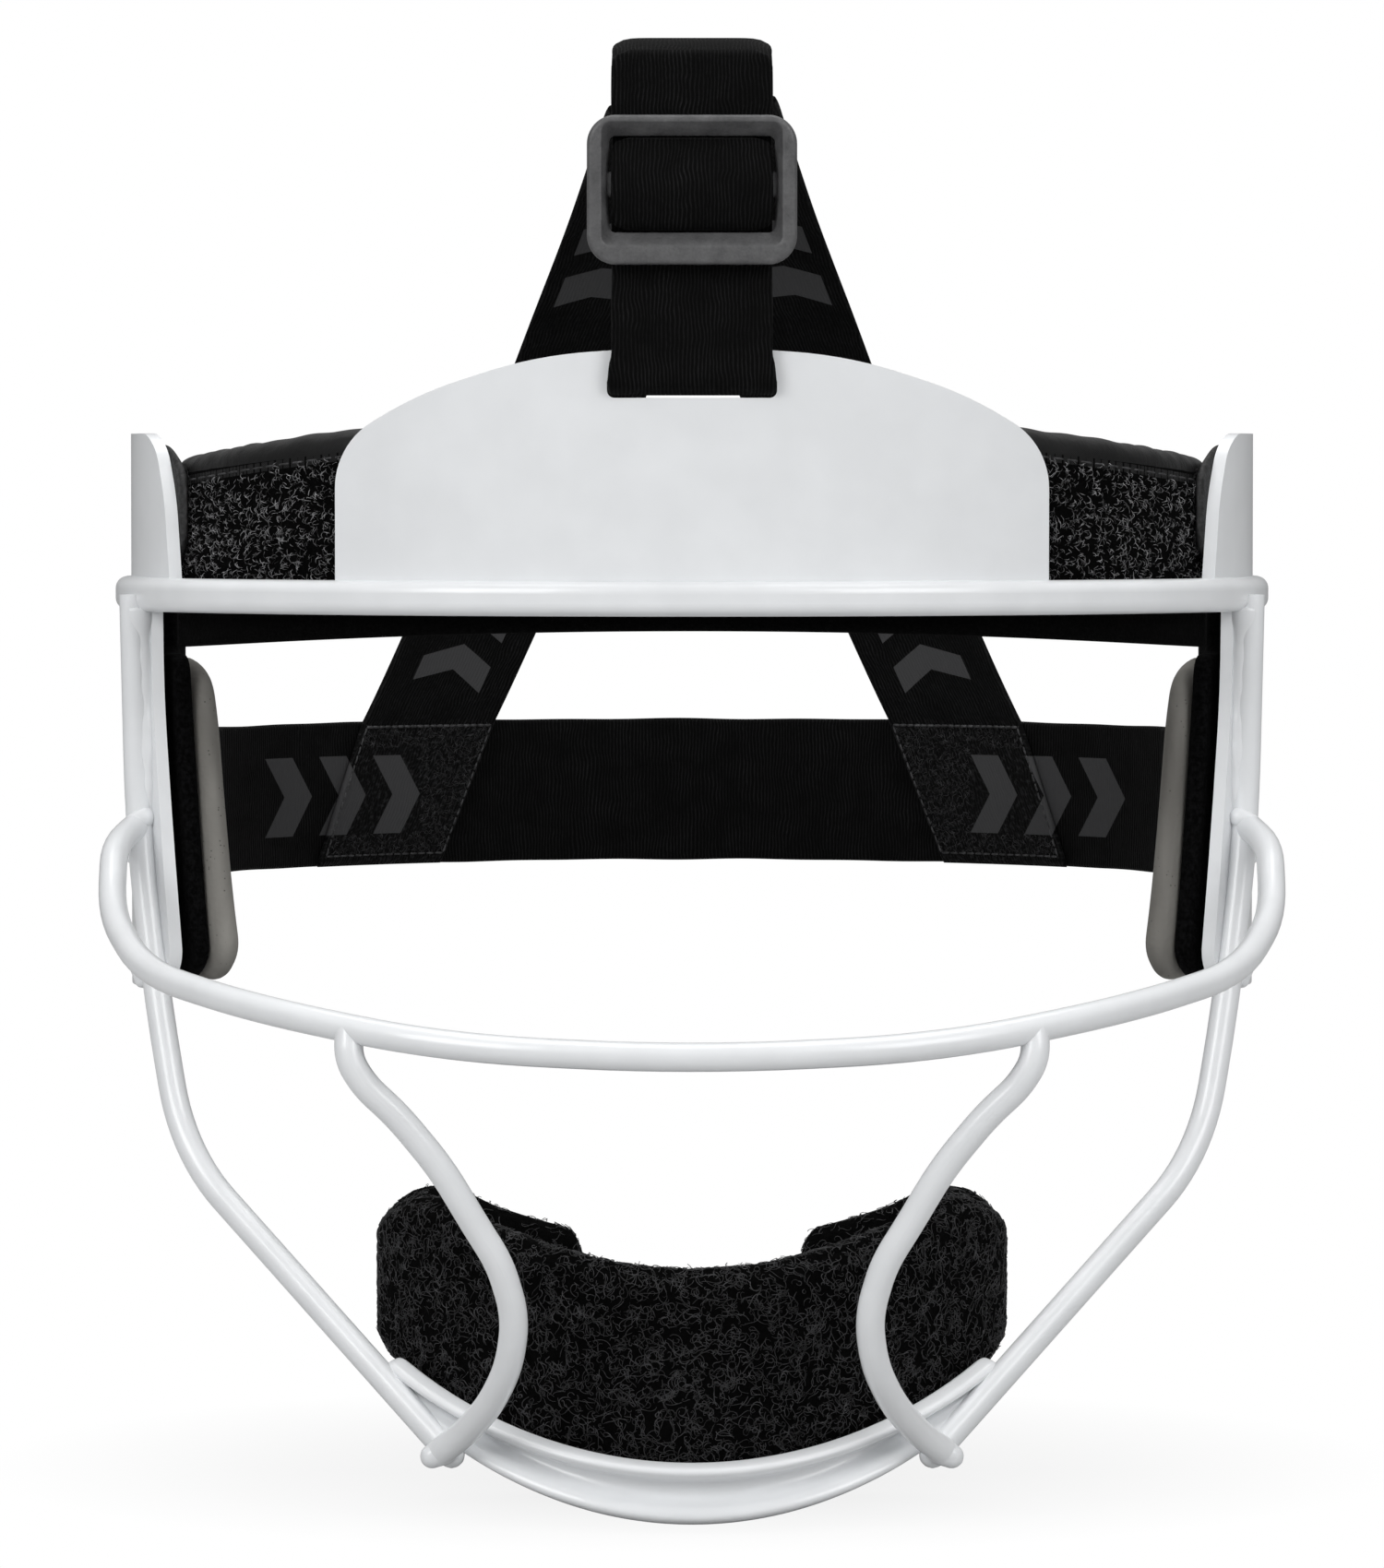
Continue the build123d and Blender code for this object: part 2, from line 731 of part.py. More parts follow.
with BuildPart() as chin_hook_strip:
    with BuildSketch(Plane.XY.offset(chin_band_floor_z)):
        with BuildLine():
            chin_oval.draw(chin_hook_inset, -chin_band_angle, chin_band_angle)
        trace(line_width=hook_strip_thickness)
    extrude(amount=frame_half_width)
    with BuildSketch(Plane.XZ):
        with BuildLine():
            smile_outline(
                chin_plate_top_z - rolled_edge_height / 2,
                chin_top_arc_radius,
                chin_plate_top_z - rolled_edge_height / 2 - chin_hook_height,
                chin_top_arc_radius + chin_hook_height,
                chin_hook_half_width,
            )
        make_face()
    extrude(amount=overrun, both=True, mode=Mode.INTERSECT)
chin_hook_strip.part.label = "chin_hook_strip"


def chin_pad_outline():
    """Front view of the chin pad: a dipped top, full rounded sides and an upturned bottom."""
    height = chin_pad_crest_z - chin_pad_bottom_z
    side = [
        (chin_pad_half_width * x_share, chin_pad_bottom_z + height * z_share)
        for x_share, z_share in chin_pad_shares
    ]
    points = mirror_points(side)
    bent_line(points)
    ThreePointArc(points[-1], (0, chin_pad_bottom_z), points[0])


def chin_hollow_outline():
    """Front view of the space above the chin pad's floor."""
    half_width = chin_pad_half_width
    low_z = chin_pad_bottom_z + chin_pad_floor_thickness
    side_z = smile_z(low_z, chin_pad_arc_radius - chin_pad_floor_thickness, half_width)
    bottom = ThreePointArc((-half_width, side_z), (0, low_z), (half_width, side_z))
    Polyline(bottom @ 1, (half_width, chin_pad_crest_z), (-half_width, chin_pad_crest_z), bottom @ 0)


def chin_pad_region(inset):
    """Everything inside the chin's oval at an inset, over the full height of the pad."""
    back_angle = chin_back_angle
    with BuildPart() as region:
        with BuildSketch(Plane.XY.offset(chin_pad_bottom_z)):
            with BuildLine():
                chin_oval.draw(inset, -back_angle, back_angle)
                Line(chin_oval.point(inset, back_angle), chin_oval.point(inset, -back_angle))
            make_face()
        extrude(amount=chin_pad_crest_z - chin_pad_bottom_z)
    return region.part


chin_pad_back_y = chin_oval.point(chin_pad_outer_inset, chin_back_angle)[1]
chin_pad_wall_back_y = chin_oval.point(chin_wall_middle_inset, chin_back_angle)[1]

with BuildPart() as chin_pad_hollow:
    add(chin_pad_region(chin_pad_inner_inset))
    with BuildSketch(Plane.XY.offset(chin_pad_bottom_z)):
        with Locations((0, chin_pad_wall_back_y)):
            Rectangle(2 * chin_pad_opening_half_width, 2 * chin_pad_thickness)
    extrude(amount=chin_pad_crest_z - chin_pad_bottom_z)
    with BuildSketch(Plane.XZ):
        with BuildLine():
            chin_hollow_outline()
        make_face()
    extrude(amount=overrun, both=True, mode=Mode.INTERSECT)

with BuildPart() as chin_pad_cup:
    add(chin_pad_region(chin_pad_outer_inset))
    with BuildSketch(Plane.XZ):
        with BuildLine():
            chin_pad_outline()
        make_face()
    extrude(amount=overrun, both=True, mode=Mode.INTERSECT)
    add(chin_pad_hollow.part, mode=Mode.SUBTRACT)
chin_pad_cup.part.label = "chin_pad_cup"


# Top strap: its free end stands before the slider; it loops through the plate and runs to the crown
strap_layer_step = strap_thickness + sewn_gap
top_strap_free_end_z = 87.7
strap_end_rounding = 3.5
top_strap_crest_z = 89.1
top_strap_bend_radius = 19.0
crown_setback = 18.5
top_strap_crest_run = 18.0
top_strap_crown_overlap = 14.0
top_strap_back_drop = 5.4
plate_middle_y = plate_inset - forehead_pad_inner_inset
plate_bow = frame_oval.front_radius - sqrt(frame_oval.front_radius**2 - (strap_width / 2) ** 2)
front_layer_y = plate_middle_y - plate_thickness / 2 - seat_gap - strap_thickness / 2
back_layer_y = plate_middle_y + plate_thickness / 2 + plate_bow + seat_gap + strap_thickness / 2
loop_radius = (back_layer_y - front_layer_y) / 2
loop_centre_y = (back_layer_y + front_layer_y) / 2
loop_centre_z = top_slot_z + top_slot_height / 2 + seat_gap
plate_clear_z = forehead_plate_height + strap_layer_step
joined_z = plate_clear_z + 2 * loop_radius
joined_y = front_layer_y + strap_layer_step
back_arc_centre_y = joined_y + top_strap_bend_radius
crest_start_z = top_strap_crest_z - top_strap_bend_radius
top_strap_back_y = widest_y + crown_setback + top_strap_crown_overlap
crest_end_y = back_arc_centre_y + top_strap_crest_run
fall_run = top_strap_back_y - crest_end_y
fall_radius = (fall_run**2 + top_strap_back_drop**2) / (2 * top_strap_back_drop)
fall_turn = degrees(asin(fall_run / fall_radius))

with BuildPart() as top_strap:
    with BuildSketch(Plane.YZ):
        with BuildLine():
            front = Line((front_layer_y, top_strap_free_end_z), (front_layer_y, loop_centre_z))
            loop = ThreePointArc(
                front @ 1,
                (loop_centre_y, loop_centre_z - loop_radius),
                (back_layer_y, loop_centre_z),
            )
            behind_plate = Line(loop @ 1, (back_layer_y, plate_clear_z))
            closing = Line(behind_plate @ 1, (joined_y, joined_z))
            rising = Line(closing @ 1, (joined_y, crest_start_z))
            turning = JernArc(rising @ 1, (0, 1), top_strap_bend_radius, -90)
            crest = Line(turning @ 1, (crest_end_y, top_strap_crest_z))
            JernArc(crest @ 1, (1, 0), fall_radius, -fall_turn)
        trace(line_width=strap_thickness)
    extrude(amount=strap_width / 2, both=True)
    fillet(edges().filter_by(Axis.Y).sort_by(Axis.Y)[:2], radius=strap_end_rounding)
top_strap.part.label = "top_strap"


# Strap slider: a moulded frame with a middle bar, in front of the strap
slider_width = 33.2
slider_height = 23.6
slider_thickness = 3.4
slider_corner_radius = 4.6
slider_window_clearance = 1.2
slider_window_width = strap_width + 2 * slider_window_clearance
slider_window_height = 15.2
slider_window_lift = 0.9
slider_bevel = 1.0
slider_rounding = 0.9
slider_bar_height = 4.0
slider_bar_thickness = 1.6
slider_z = 64.7
slider_back_y = front_layer_y - strap_thickness / 2 - seat_gap
slider_window_z = slider_z + slider_window_lift
slider_back_plane = Plane(origin=(0, slider_back_y, 0), x_dir=(1, 0, 0), z_dir=(0, -1, 0))

with BuildPart() as strap_slider:
    with BuildSketch(slider_back_plane):
        with Locations((0, slider_z)):
            RectangleRounded(slider_width, slider_height, slider_corner_radius)
    extrude(amount=slider_thickness)
    fillet(faces().filter_by(Axis.Y).sort_by(Axis.Y)[0].edges(), radius=slider_rounding)
    with BuildSketch(slider_back_plane.offset(slider_thickness)):
        with Locations((0, slider_window_z)):
            RectangleRounded(slider_window_width, slider_window_height, slider_bevel)
    extrude(amount=-slider_thickness, mode=Mode.SUBTRACT)
    with BuildSketch(slider_back_plane):
        with Locations((0, slider_window_z)):
            Rectangle(slider_window_width + slider_bevel, slider_bar_height)
    extrude(amount=slider_bar_thickness)
strap_slider.part.label = "strap_slider"

# The crest of strap that the slider's middle bar lifts, which moves with the slider
crest_half_height = slider_window_height / 2 - 2 * seat_gap
crest_end_gap_y = slider_back_y - strap_thickness / 2
crest_peak_y = slider_back_y - slider_bar_thickness - seat_gap - strap_thickness / 2

with BuildPart() as strap_crest:
    with BuildSketch(Plane.YZ):
        with BuildLine():
            ThreePointArc(
                (crest_end_gap_y, slider_window_z - crest_half_height),
                (crest_peak_y, slider_window_z),
                (crest_end_gap_y, slider_window_z + crest_half_height),
            )
        trace(line_width=strap_thickness)
    extrude(amount=strap_width / 2, both=True)
strap_crest.part.label = "strap_crest"


# Rear strap: round the back of the head, through the cheek plates' slots and folded back inside
rear_strap_reach_share = 1.162
rear_strap_back_y = widest_y + frame_half_width * rear_strap_reach_share
fold_end_angle = 111.0
layer_inset = plate_thickness / 2 + seat_gap + strap_thickness / 2
fold_run = strap_slot_start + strap_slot_length + seat_gap
tail_turn = radians(frame_tail_angle)
outer_start = frame_oval.point(plate_inset - layer_inset, frame_tail_angle)
# Radius of the arc that leaves the plate's straight line and touches the rearmost point
rear_strap_radius = (
    outer_start[0] * sin(tail_turn) - cos(tail_turn) * (outer_start[1] - rear_strap_back_y)
) / (1 + cos(tail_turn))
rear_strap_centre_y = rear_strap_back_y - rear_strap_radius
rear_strap_low_z = rear_strap_z - strap_width / 2


def rear_arc_point(inset, angle):
    """Point on the rear strap's arc moved inwards; the angle is the outline's turn from the front."""
    radius = rear_strap_radius - inset
    turn = radians(angle)
    return (radius * sin(turn), rear_strap_centre_y - radius * cos(turn))


def mirror_x(point):
    return (-point[0], point[1])


fold_inset = 2 * layer_inset
outer_run_start = frame_oval.tail_point(plate_inset - layer_inset, frame_tail_angle, fold_run)
inner_run_start = frame_oval.tail_point(plate_inset + layer_inset, frame_tail_angle, fold_run)
fold_middle = frame_oval.tail_point(plate_inset, frame_tail_angle, fold_run - layer_inset)
outer_arc_start = rear_arc_point(0, frame_tail_angle)
inner_arc_start = rear_arc_point(fold_inset, frame_tail_angle)
fold_arc_middle = rear_arc_point(fold_inset, (frame_tail_angle + fold_end_angle) / 2)
fold_end = rear_arc_point(fold_inset, fold_end_angle)

with BuildPart() as rear_strap:
    with BuildSketch(Plane.XY.offset(rear_strap_low_z)):
        with BuildLine():
            for place in (lambda point: point, mirror_x):
                ThreePointArc(place(fold_end), place(fold_arc_middle), place(inner_arc_start))
                Line(place(inner_arc_start), place(inner_run_start))
                ThreePointArc(
                    place(inner_run_start), place(fold_middle), place(outer_run_start)
                )
                Line(place(outer_run_start), place(outer_arc_start))
            ThreePointArc(
                outer_arc_start, (0, rear_strap_back_y), mirror_x(outer_arc_start)
            )
        trace(line_width=strap_thickness)
    extrude(amount=strap_width)
rear_strap.part.label = "rear_strap"

# Hook tab between the two layers of each folded end
hook_tab_start_angle = 101.5
hook_tab_end_angle = 110.0
hook_tab_thickness = fold_inset - strap_thickness - 2 * sewn_gap
hook_tab_margin = 1.5

with BuildPart() as rear_hook_tab_left:
    with BuildSketch(Plane.XY.offset(rear_strap_low_z + hook_tab_margin)):
        with BuildLine():
            ThreePointArc(
                rear_arc_point(layer_inset, hook_tab_start_angle),
                rear_arc_point(layer_inset, (hook_tab_start_angle + hook_tab_end_angle) / 2),
                rear_arc_point(layer_inset, hook_tab_end_angle),
            )
        trace(line_width=hook_tab_thickness)
    extrude(amount=strap_width - 2 * hook_tab_margin)
rear_hook_tab_left.part.label = "rear_hook_tab_left"


# V straps: sewn on the inside of the rear strap, up the back of the head and joined at the crown
v_strap_slant_angle = 22.0
v_strap_fan_angle = 90.0
v_strap_patch_share = 0.53
v_strap_foot_share = 0.63
v_strap_arc_radius = rear_strap_radius - strap_layer_step
v_strap_patch_x = v_strap_arc_radius * v_strap_patch_share
v_strap_foot_x = v_strap_arc_radius * v_strap_foot_share
v_strap_half_width = strap_width / cos(radians(v_strap_slant_angle)) / 2
v_strap_fan_z = rear_strap_z + strap_width / 2
# At the crown the straps lie in two layers close under the top strap
crown_gap = 0.6
crown_run = rear_strap_centre_y - crest_end_y
crown_fall = fall_radius - sqrt(fall_radius**2 - crown_run**2)
v_strap_crown_z = top_strap_crest_z - crown_fall - 3 * strap_layer_step / 2 - crown_gap
v_strap_crown_radius = v_strap_crown_z - v_strap_fan_z
# Shares of the fan angle, of the way out from the rear radius to the crown radius,
# of the patch's sideways place and of the layer step, and flattening of the cross arc
v_strap_shares = [
    (0, 0, 1, 0, 1),
    (0.17, 0.08, 0.79, 0.3, 1),
    (0.34, 0.24, 0.56, 0.7, 1.1),
    (0.51, 0.48, 0.35, 1, 1.4),
    (0.68, 0.73, 0.17, 1, 2),
    (0.85, 0.91, 0.06, 1, 3),
    (1, 1, 0.01, 1, 4),
]


def v_strap_section(radius, arc_radius, side_x):
    """Cross-section of the left V strap: a short curved bar at a distance from the middle."""
    half_turn = v_strap_half_width / arc_radius
    centre_turn = asin(side_x / arc_radius)
    centre_y = radius - arc_radius
    ends = [centre_turn - half_turn, centre_turn, centre_turn + half_turn]
    points = [
        (arc_radius * sin(turn), centre_y + arc_radius * cos(turn)) for turn in ends
    ]
    ThreePointArc(*points)


def v_strap(layer_side):
    """The left V strap; layer_side says whether it lies over or under the other at the crown."""
    with BuildPart() as strap:
        for turn_share, out_share, side_share, layer_share, flat_share in v_strap_shares:
            radius = v_strap_arc_radius + (v_strap_crown_radius - v_strap_arc_radius) * out_share
            radius += layer_side * layer_share * strap_layer_step / 2
            turn = radians(v_strap_fan_angle * turn_share)
            fan_plane = Plane(
                origin=(0, rear_strap_centre_y, v_strap_fan_z),
                x_dir=(1, 0, 0),
                z_dir=(0, -sin(turn), cos(turn)),
            )
            with BuildSketch(fan_plane):
                with BuildLine():
                    v_strap_section(
                        radius, v_strap_arc_radius * flat_share, v_strap_patch_x * side_share
                    )
                trace(line_width=strap_thickness)
        loft()
        for foot_z, foot_x in (
            (v_strap_fan_z, v_strap_patch_x),
            (rear_strap_low_z, v_strap_foot_x),
        ):
            with BuildSketch(Plane(origin=(0, rear_strap_centre_y, foot_z))):
                with BuildLine():
                    v_strap_section(v_strap_arc_radius, v_strap_arc_radius, foot_x)
                trace(line_width=strap_thickness)
        loft(ruled=True)
    return strap.part


with BuildPart() as v_strap_left:
    add(v_strap(1))
v_strap_left.part.label = "v_strap_left"

with BuildPart() as v_strap_right:
    add(mirrored(v_strap(-1)))
v_strap_right.part.label = "v_strap_right"


# The right side repeats the left
right_parts = []
for left in (
    temple_plate_left,
    cheek_plate_left,
    side_bar_left,
    mouth_bar_left,
    temple_hook_strip_left,
    cheek_hook_strip_left,
    side_pad_backing_left,
    side_pad_foam_left,
    rear_hook_tab_left,
):
    right = mirrored(left.part)
    right.label = left.part.label.replace("left", "right")
    right_parts.append(right)

os.makedirs("parts", exist_ok=True)
for piece in (
    brow_bar,
    forehead_plate,
    temple_plate_left,
    cheek_plate_left,
    side_bar_left,
    cheek_bar,
    mouth_bar_left,
    chin_plate,
    forehead_hook_strip,
    temple_hook_strip_left,
    cheek_hook_strip_left,
    chin_hook_strip,
    forehead_pad_foam,
    forehead_pad_loop_face,
    forehead_pad_binding,
    side_pad_backing_left,
    side_pad_foam_left,
    chin_pad_cup,
    top_strap,
    strap_slider,
    strap_crest,
    rear_strap,
    rear_hook_tab_left,
    v_strap_left,
    v_strap_right,
):
    export_step(piece.part, f"parts/{piece.part.label}.step")
for part in right_parts:
    export_step(part, f"parts/{part.label}.step")
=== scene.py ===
import bpy
import bmesh
import numpy as np
from functools import partial
from math import asin, atan, cos, degrees, pi, radians, sin
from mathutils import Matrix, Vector


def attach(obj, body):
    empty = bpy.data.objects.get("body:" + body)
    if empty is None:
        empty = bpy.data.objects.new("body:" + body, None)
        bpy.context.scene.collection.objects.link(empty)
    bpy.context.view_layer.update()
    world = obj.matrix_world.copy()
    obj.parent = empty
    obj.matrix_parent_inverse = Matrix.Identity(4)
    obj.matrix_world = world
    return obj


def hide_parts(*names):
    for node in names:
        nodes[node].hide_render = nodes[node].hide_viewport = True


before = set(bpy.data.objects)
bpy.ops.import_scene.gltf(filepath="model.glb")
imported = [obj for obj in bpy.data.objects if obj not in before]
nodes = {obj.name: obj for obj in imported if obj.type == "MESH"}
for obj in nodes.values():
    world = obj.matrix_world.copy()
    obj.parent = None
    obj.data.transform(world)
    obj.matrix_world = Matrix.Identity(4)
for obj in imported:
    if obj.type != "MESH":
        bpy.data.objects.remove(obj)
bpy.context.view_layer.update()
mm = 0.001
random = np.random.default_rng(11)
sides = (("left", 1), ("right", -1))  # the wearer's sides and the sign of x on each


def colour(code):
    # sRGB hex to Blender's linear colour
    parts = [int(code[i : i + 2], 16) / 255 for i in (1, 3, 5)]
    return (*[p / 12.92 if p <= 0.04045 else ((p + 0.055) / 1.055) ** 2.4 for p in parts], 1)


def addNode(tree, kind, *values, **named):
    # One node with its links: values go to its inputs in use, in order, and named ones to the input of
    # that name, or to the setting if the name is in small letters. A node stands for its first output in use
    made = tree.nodes.new("ShaderNode" + kind)
    for key in [key for key in named if key.islower()]:
        setattr(made, key, named.pop(key))
    inUse = [socket for socket in made.inputs if socket.enabled]
    pairs = [*zip(inUse, values), *((made.inputs[key], value) for key, value in named.items())]
    for socket, value in pairs:
        if isinstance(value, bpy.types.Node):
            value = next(output for output in value.outputs if output.enabled)
        if isinstance(value, bpy.types.NodeSocket):
            tree.links.new(value, socket)
        else:
            socket.default_value = value
    return made


def newMaterial(name):
    # An empty material, and addNode for its tree
    made = bpy.data.materials.new(name)
    made.use_nodes = True
    made.node_tree.nodes.clear()
    return made, partial(addNode, made.node_tree)


# Materials

coatLook = {
    "lit": "#edeff1",
    "thin": "#e8eaec",
    "sagSize": 11 * mm,
    "sagDepth": 0.12 * mm,
    "grainSize": 3.2 * mm,
    "grainDepth": 0.03 * mm,
    "finish": {"Roughness": 0.36, "Coat Weight": 0.6, "Coat Roughness": 0.15},
}


def coatedSteel():
    # Steel dipped in glossy white vinyl: even cool white, soft highlights, faint sags in the coat
    s = coatLook
    made, add = newMaterial("white vinyl dip on steel")
    place = add("TexCoord").outputs["Object"]
    sag = add("TexNoise", place, 1 / s["sagSize"], 2, 0.5)
    grain = add("TexNoise", place, 1 / s["grainSize"], 1, 0.5)
    tone = add("MapRange", sag, 0.35, 0.7, 0, 1)
    base = add("Mix", tone, colour(s["thin"]), colour(s["lit"]), data_type="RGBA")
    fine = add("Bump", 1.0, s["grainDepth"], Height=grain)
    relief = add("Bump", 1.0, s["sagDepth"], Height=sag, Normal=fine)
    add("OutputMaterial", add("BsdfPrincipled", base, **{"Normal": relief, **s["finish"]}))
    return made


elasticLook = {
    "dark": "#010101",
    # rib: the colour of the painted highlight on the rib crests
    "rib": "#29292a",
    "ink": "#434344",
    "inkWorn": "#38383a",
    "inkSize": 1.1 * mm,
    "inkCover": 0.7,
    "ribPitch": 0.62 * mm,
    "ribWander": 0.5 * mm,
    "ribDepth": 0.11 * mm,
    "wanderSize": 7 * mm,
    "coverSize": 6 * mm,
    "pileSize": 0.8 * mm,
    "footFade": 2 * mm,
    "footRest": 0.12,
    "finish": {"Roughness": 0.8, "Sheen Weight": 0.015, "Sheen Roughness": 0.4, "Specular IOR Level": 0.09},
}

# Chevrons on a strap: their pitch, count, width along it and half height, how far the tip runs ahead,
# their middle line and their skew
rearChevrons = {
    "pitch": 9.6 * mm,
    "count": 3,
    "width": 4.9 * mm,
    "half": 6.95 * mm,
    "advance": 3.45 * mm,
    "middle": 0.0,
    "skew": 0.0,
}
lowerChevrons = {
    "pitch": 9.6 * mm,
    "count": 3,
    "width": 5.0 * mm,
    "half": 7.6 * mm,
    "advance": 3.3 * mm,
    "middle": 0.0,
    "skew": 0.24,
}
crownChevrons = {
    "pitch": 12.3 * mm,
    "count": 2,
    "width": 6.9 * mm,
    "half": 6.2 * mm,
    "advance": 1.5 * mm,
    "middle": 4.5 * mm,
    "skew": 0.0,
}


def chevronMask(add, uvName, starts, spec):
    # 1 inside a chevron: 0 < u - skew v - start - advance (1 - |v| / half) < width, repeated at the pitch
    u, v = add("SeparateXYZ", add("UVMap", uv_map=uvName)).outputs[:2]
    u = add("Math", u, add("Math", v, spec["skew"], operation="MULTIPLY"), operation="SUBTRACT")
    offMiddle = add("Math", v, spec["middle"], operation="SUBTRACT")
    side = add("Math", offMiddle, operation="ABSOLUTE")
    sideShare = add("Math", side, spec["half"], operation="DIVIDE")
    lean = add("Math", sideShare, -spec["advance"], operation="MULTIPLY")
    inBand = add("Math", side, spec["half"], operation="LESS_THAN")
    groupRun = spec["pitch"] * spec["count"] - 1e-5
    total = None
    for start in starts:
        fromTip = add("Math", u, start + spec["advance"], operation="SUBTRACT")
        run = add("Math", fromTip, lean, operation="SUBTRACT")
        begun = add("Math", run, 0.0, operation="GREATER_THAN")
        ended = add("Math", run, groupRun, operation="LESS_THAN")
        within = add("Math", begun, ended, operation="MULTIPLY")
        repeat = add("Math", run, spec["pitch"], 0.0, operation="WRAP")
        part = add("Math", repeat, spec["width"], operation="LESS_THAN")
        mask = add("Math", add("Math", within, part, operation="MULTIPLY"), inBand, operation="MULTIPLY")
        total = mask if total is None else add("Math", total, mask, operation="MAXIMUM")
    return total


def elastic(name, ribsAlong=True, prints=(), footEnd=0.0):
    # Knitted elastic: near-black, fine wandering ribs with crests lightened by painted highlight, a matt
    # face
    s = elasticLook
    made, add = newMaterial(name)
    place = add("UVMap", uv_map="strap")
    u, v = add("SeparateXYZ", place).outputs[:2]
    wander = add("TexNoise", place, 1 / s["wanderSize"], 2, 0.5)
    shift = add("Math", wander, s["ribWander"] * 4, operation="MULTIPLY")
    across = add("Math", v if ribsAlong else u, shift, operation="ADD")
    phase = add("Math", across, 2 * pi / s["ribPitch"], operation="MULTIPLY")
    rib = add("MapRange", add("Math", phase, operation="SINE"), -1, 1, 0, 1)
    pile = add("TexNoise", place, 1 / s["pileSize"], 3, 0.65)
    cover = add("MapRange", add("TexNoise", place, 1 / s["coverSize"], 3, 0.6), 0.35, 0.7, 0.25, 1)
    # Rib crests lightened in the colour: painted highlight where the ribs catch the light
    crestHighlight = add("Math", add("Math", rib, 3.0, operation="POWER"), pile, operation="MULTIPLY")
    light = add("Math", crestHighlight, cover, operation="MULTIPLY")
    if footEnd:
        # The sewn foot is brushed up: its loops are lightened in the colour, partly real nap and partly
        # painted highlight
        brushedNapAndHighlight = add("MapRange", u, footEnd, footEnd - s["footFade"], s["footRest"], 1.0)
        loops = add("Math", add("MapRange", pile, 0.5, 0.7, 0, 1), brushedNapAndHighlight, operation="MULTIPLY")
        light = add("Math", light, loops, operation="ADD")
    base = add("Mix", light, colour(s["dark"]), colour(s["rib"]), data_type="RGBA")
    height = add("Math", rib, pile, operation="ADD")
    for uvName, starts, spec in prints:
        mask = chevronMask(add, uvName, starts, spec)
        ink = add("MapRange", add("TexNoise", place, 1 / s["inkSize"], 2, 0.5), 0.3, 0.7, 0.86, 1.0)
        inked = add("Mix", ink, colour(s["inkWorn"]), colour(s["ink"]), data_type="RGBA")
        base = add("Mix", mask, base, inked, data_type="RGBA")
        filled = add("Math", mask, s["inkCover"], operation="MULTIPLY")
        height = add("Math", height, add("Math", 1.0, filled, operation="SUBTRACT"), operation="MULTIPLY")
    relief = add("Bump", 0.9, s["ribDepth"], Height=height)
    add("OutputMaterial", add("BsdfPrincipled", base, **{"Normal": relief, **s["finish"]}))
    return made


def plainFabric(name, dark, light, size, depth, **finish):
    # A dull textile or foam: two close tones in blotches of one size, with the same grain as relief
    made, add = newMaterial(name)
    grain = add("TexNoise", add("TexCoord").outputs["Object"], 1 / size, 4, 0.65)
    tone = add("MapRange", grain, 0.4, 0.7, 0, 1)
    base = add("Mix", tone, colour(dark), colour(light), data_type="RGBA")
    relief = add("Bump", 1.0, depth, Height=grain)
    add("OutputMaterial", add("BsdfPrincipled", base, **{"Normal": relief, **finish}))
    return made


satinLook = {
    "dark": "#010101",
    "light": "#0a0a0b",
    "pitch": 0.35 * mm,
    "weaveDepth": 0.02 * mm,
    "rumpleSize": 5 * mm,
    "rumpleDepth": 0.5 * mm,
    "finish": {"Roughness": 0.36, "Sheen Weight": 0.03, "Specular IOR Level": 0.3},
}


def satin():
    # Satin binding tape: black, tight weave, soft lengthwise sheen along the fold
    s = satinLook
    made, add = newMaterial("black satin binding")
    place = add("UVMap", uv_map="strap")
    waves = []
    for along in add("SeparateXYZ", place).outputs[:2]:
        phase = add("Math", along, 2 * pi / s["pitch"], operation="MULTIPLY")
        waves.append(add("Math", phase, operation="SINE"))
    weave = add("Math", *waves, operation="MULTIPLY")
    rumple = add("TexNoise", place, 1 / s["rumpleSize"], 3, 0.5)
    base = add("Mix", rumple, colour(s["dark"]), colour(s["light"]), data_type="RGBA")
    fine = add("Bump", 0.6, s["weaveDepth"], Height=weave)
    relief = add("Bump", 0.7, s["rumpleDepth"], Height=rumple, Normal=fine)
    add("OutputMaterial", add("BsdfPrincipled", base, **{"Normal": relief, **s["finish"]}))
    return made


foamLook = {
    "dark": "#6a6864",
    "light": "#8d8b86",
    "poreShade": "#45443f",
    "poreShadeCover": 0.7,
    "speckSize": 4 * mm,
    "bandSize": 7 * mm,
    "bandStretch": (1.0, 1.0, 0.12),
    "poreSize": 0.9 * mm,
    "poreDepth": 0.12 * mm,
    "finish": {"Roughness": 0.9, "Specular IOR Level": 0.2},
}


